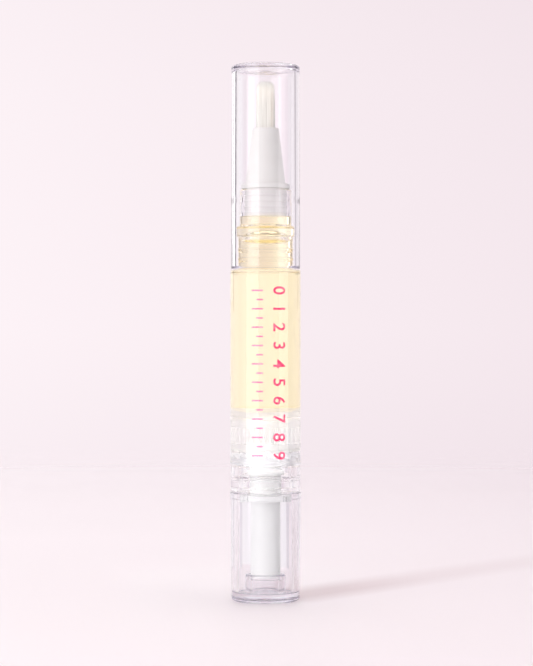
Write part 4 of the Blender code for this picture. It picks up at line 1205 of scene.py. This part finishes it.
# Feed tube: a fine tube in natural polypropylene that carries the oil up into the brush. It stands in the
# applicator's small bore, with its flange under the web there.
FEED_INNER, FEED_OUTER = 0.22, 0.48
FEED_FLANGE = 1.3
FEED_FOOT, FEED_FLANGE_TOP, FEED_TOP = 105.2, 105.8, 117.0
FEED_SEGMENTS = 64

form = turned(
    rounded(
        [
            (FEED_INNER, FEED_FOOT),
            (FEED_FLANGE, FEED_FOOT, 0.1),
            (FEED_FLANGE, FEED_FLANGE_TOP, 0.1),
            (FEED_OUTER, FEED_FLANGE_TOP),
            (FEED_OUTER, FEED_TOP, 0.05),
            (FEED_INNER, FEED_TOP),
        ]
    ),
    segments=FEED_SEGMENTS,
)
feed = finished("feed_tube_natural", form, [natural])
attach(feed, "barrel")
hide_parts("feed_tube")


# Bristles: fine nylon filaments, fused at their roots into one slice that stands low in the cone's bore.
# They draw in a little above the cone, towards a ragged round tip.
BRUSH_FOOT, BRUSH_TIP = 107.6, 126.2
BRUSH_RADIUS, BRUSH_CORE = 2.3, 0.55
SLICE_RADIUS, SLICE_TOP = 2.25, 108.6
SLICE_SEGMENTS = 96
STRANDS = 1300
STRAND_FOOT = 108.2
STRAND_STEPS = 6
STRAND_SIDES = 4
STRAND_HALF_THICK = (0.042, 0.055)
STRAND_TAPER = 0.75
TIP_ROUND, TIP_RAGGED = 0.9, 1.3
LEAN_OUTSIDE, LEAN_MIDDLE, LEAN_STRAY = 0.16, 0.3, 0.05
SWAY = 0.07
SWAY_LEAST_RADIUS = 0.5
STRAND_SEED = 11
STRAND_SMOOTH = math.radians(120)

NYLON = (0.875, 0.868, 0.85)
NYLON_ROUGHNESS = 0.4
NYLON_IOR = 1.53
NYLON_SHADE = (0.945, 0.932, 0.918)
NYLON_DEEPER = (0.86, 0.845, 0.82)
NYLON_LIT = 1.12
STREAK_SCALE = 4200
STREAK_STRETCH = 0.015
STREAK_STOPS = (0.36, 0.64)

nylon, tree, output = new_material("nylon_filament")
shader = principled(tree, NYLON, NYLON_ROUGHNESS, IOR=NYLON_IOR)
coordinates = tree.nodes.new("ShaderNodeTexCoord").outputs["Object"]
grained(tree, shader, coordinates)
stretch = tree.nodes.new("ShaderNodeMapping")
stretch.inputs["Scale"].default_value = (1, 1, STREAK_STRETCH)
tree.links.new(coordinates, stretch.inputs["Vector"])
deeper = tuple(c * d for c, d in zip(NYLON, NYLON_DEEPER))
lit = tuple(min(c * NYLON_LIT, 1) for c in NYLON)
streak = speckled(tree, stretch.outputs["Vector"], STREAK_SCALE)
tree.links.new(ramp(tree, streak, tuple(zip(STREAK_STOPS, (deeper, lit)))), shader.inputs["Base Color"])
lamp_passing(tree, shader, output, NYLON_SHADE)

form = turned(
    [
        (FEED_BORE, BRUSH_FOOT),
        (SLICE_RADIUS, BRUSH_FOOT),
        (SLICE_RADIUS, SLICE_TOP),
        (FEED_BORE, SLICE_TOP),
    ],
    segments=SLICE_SEGMENTS,
)
chance = random.Random(STRAND_SEED)
golden_turn = math.pi * (3 - math.sqrt(5))
for i in range(STRANDS):
    share = (i + 0.5) / STRANDS
    radius = math.sqrt(BRUSH_CORE**2 + (BRUSH_RADIUS**2 - BRUSH_CORE**2) * share)
    turn = golden_turn * i
    out = radius / BRUSH_RADIUS
    tip = BRUSH_TIP - TIP_ROUND * out**5 - TIP_RAGGED * chance.random() ** 2
    lean = LEAN_OUTSIDE * out + LEAN_MIDDLE * (1 - out) + chance.uniform(-LEAN_STRAY, LEAN_STRAY)
    sway = chance.uniform(-SWAY, SWAY)
    thick = chance.uniform(*STRAND_HALF_THICK)
    sections = []
    for k in range(STRAND_STEPS + 1):
        along = k / STRAND_STEPS
        z = STRAND_FOOT + (tip - STRAND_FOOT) * along
        rise = max(z - CONE_TOP, 0) / (BRUSH_TIP - CONE_TOP)
        reach = radius - lean * rise**1.5
        swung = turn + sway * rise**2 / max(radius, SWAY_LEAST_RADIUS)
        half = thick * (1 - STRAND_TAPER * along**6)
        centre = Vector((reach * math.cos(swung), reach * math.sin(swung), z))
        turns = [swung + math.tau * side / STRAND_SIDES for side in range(STRAND_SIDES)]
        corners = [centre + Vector((half * math.cos(t), half * math.sin(t), 0)) for t in turns]
        sections.append([form.verts.new(corner * MM) for corner in corners])
    for here, after in zip(sections, sections[1:]):
        for k in range(STRAND_SIDES):
            n = (k + 1) % STRAND_SIDES
            form.faces.new((here[k], here[n], after[n], after[k]))
    form.faces.new(sections[0][::-1])
    form.faces.new(sections[-1])
brush = finished("bristles_nylon", form, [nylon], smooth=STRAND_SMOOTH)
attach(brush, "barrel")
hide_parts("bristles")


# Cap: the clear overcap, injection moulded in polystyrene, that pulls off upwards. Its mouth has a short
# lead-in below the beads of the barrel's seat, and a gate dimple shows in its ceiling.
CAP_FOOT, CAP_TOP = 80.6, 130.0
CAP_MOUTH_RADIUS, CAP_FOOT_RADIUS, CAP_TOP_RADIUS = 7.5, 8.4, 8.3
CAP_SEAT_BORE, CAP_LEAD_IN = 7.3, 81.2
CEILING, CEILING_RADIUS = 128.6, 7.1
CEILING_MARK_RADIUS, CEILING_MARK_DEPTH = 1.35, 0.4
CAP_DENSITY = 16.0

cap_plastic = polished_clear("clear_polystyrene", CLEAR_IOR, density=CAP_DENSITY)
form = turned(
    rounded(
        [
            (CAP_MOUTH_RADIUS, CAP_FOOT, 0.05),
            (CAP_FOOT_RADIUS, CAP_FOOT, 0.15),
            (CAP_TOP_RADIUS, CAP_TOP, 0.6),
            (0, CAP_TOP),
            *gate_mark(CEILING_MARK_RADIUS, CEILING_MARK_DEPTH, CEILING),
            (CEILING_RADIUS, CEILING, 0.4),
            (7.18, 97.9, 0.6),
            (7.28, 96.5, 0.6),
            (CAP_SEAT_BORE, CAP_LEAD_IN, 0.1),
        ]
    )
)
cap = finished("cap_clear", form, [cap_plastic])
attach(cap, "cap")
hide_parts("cap")
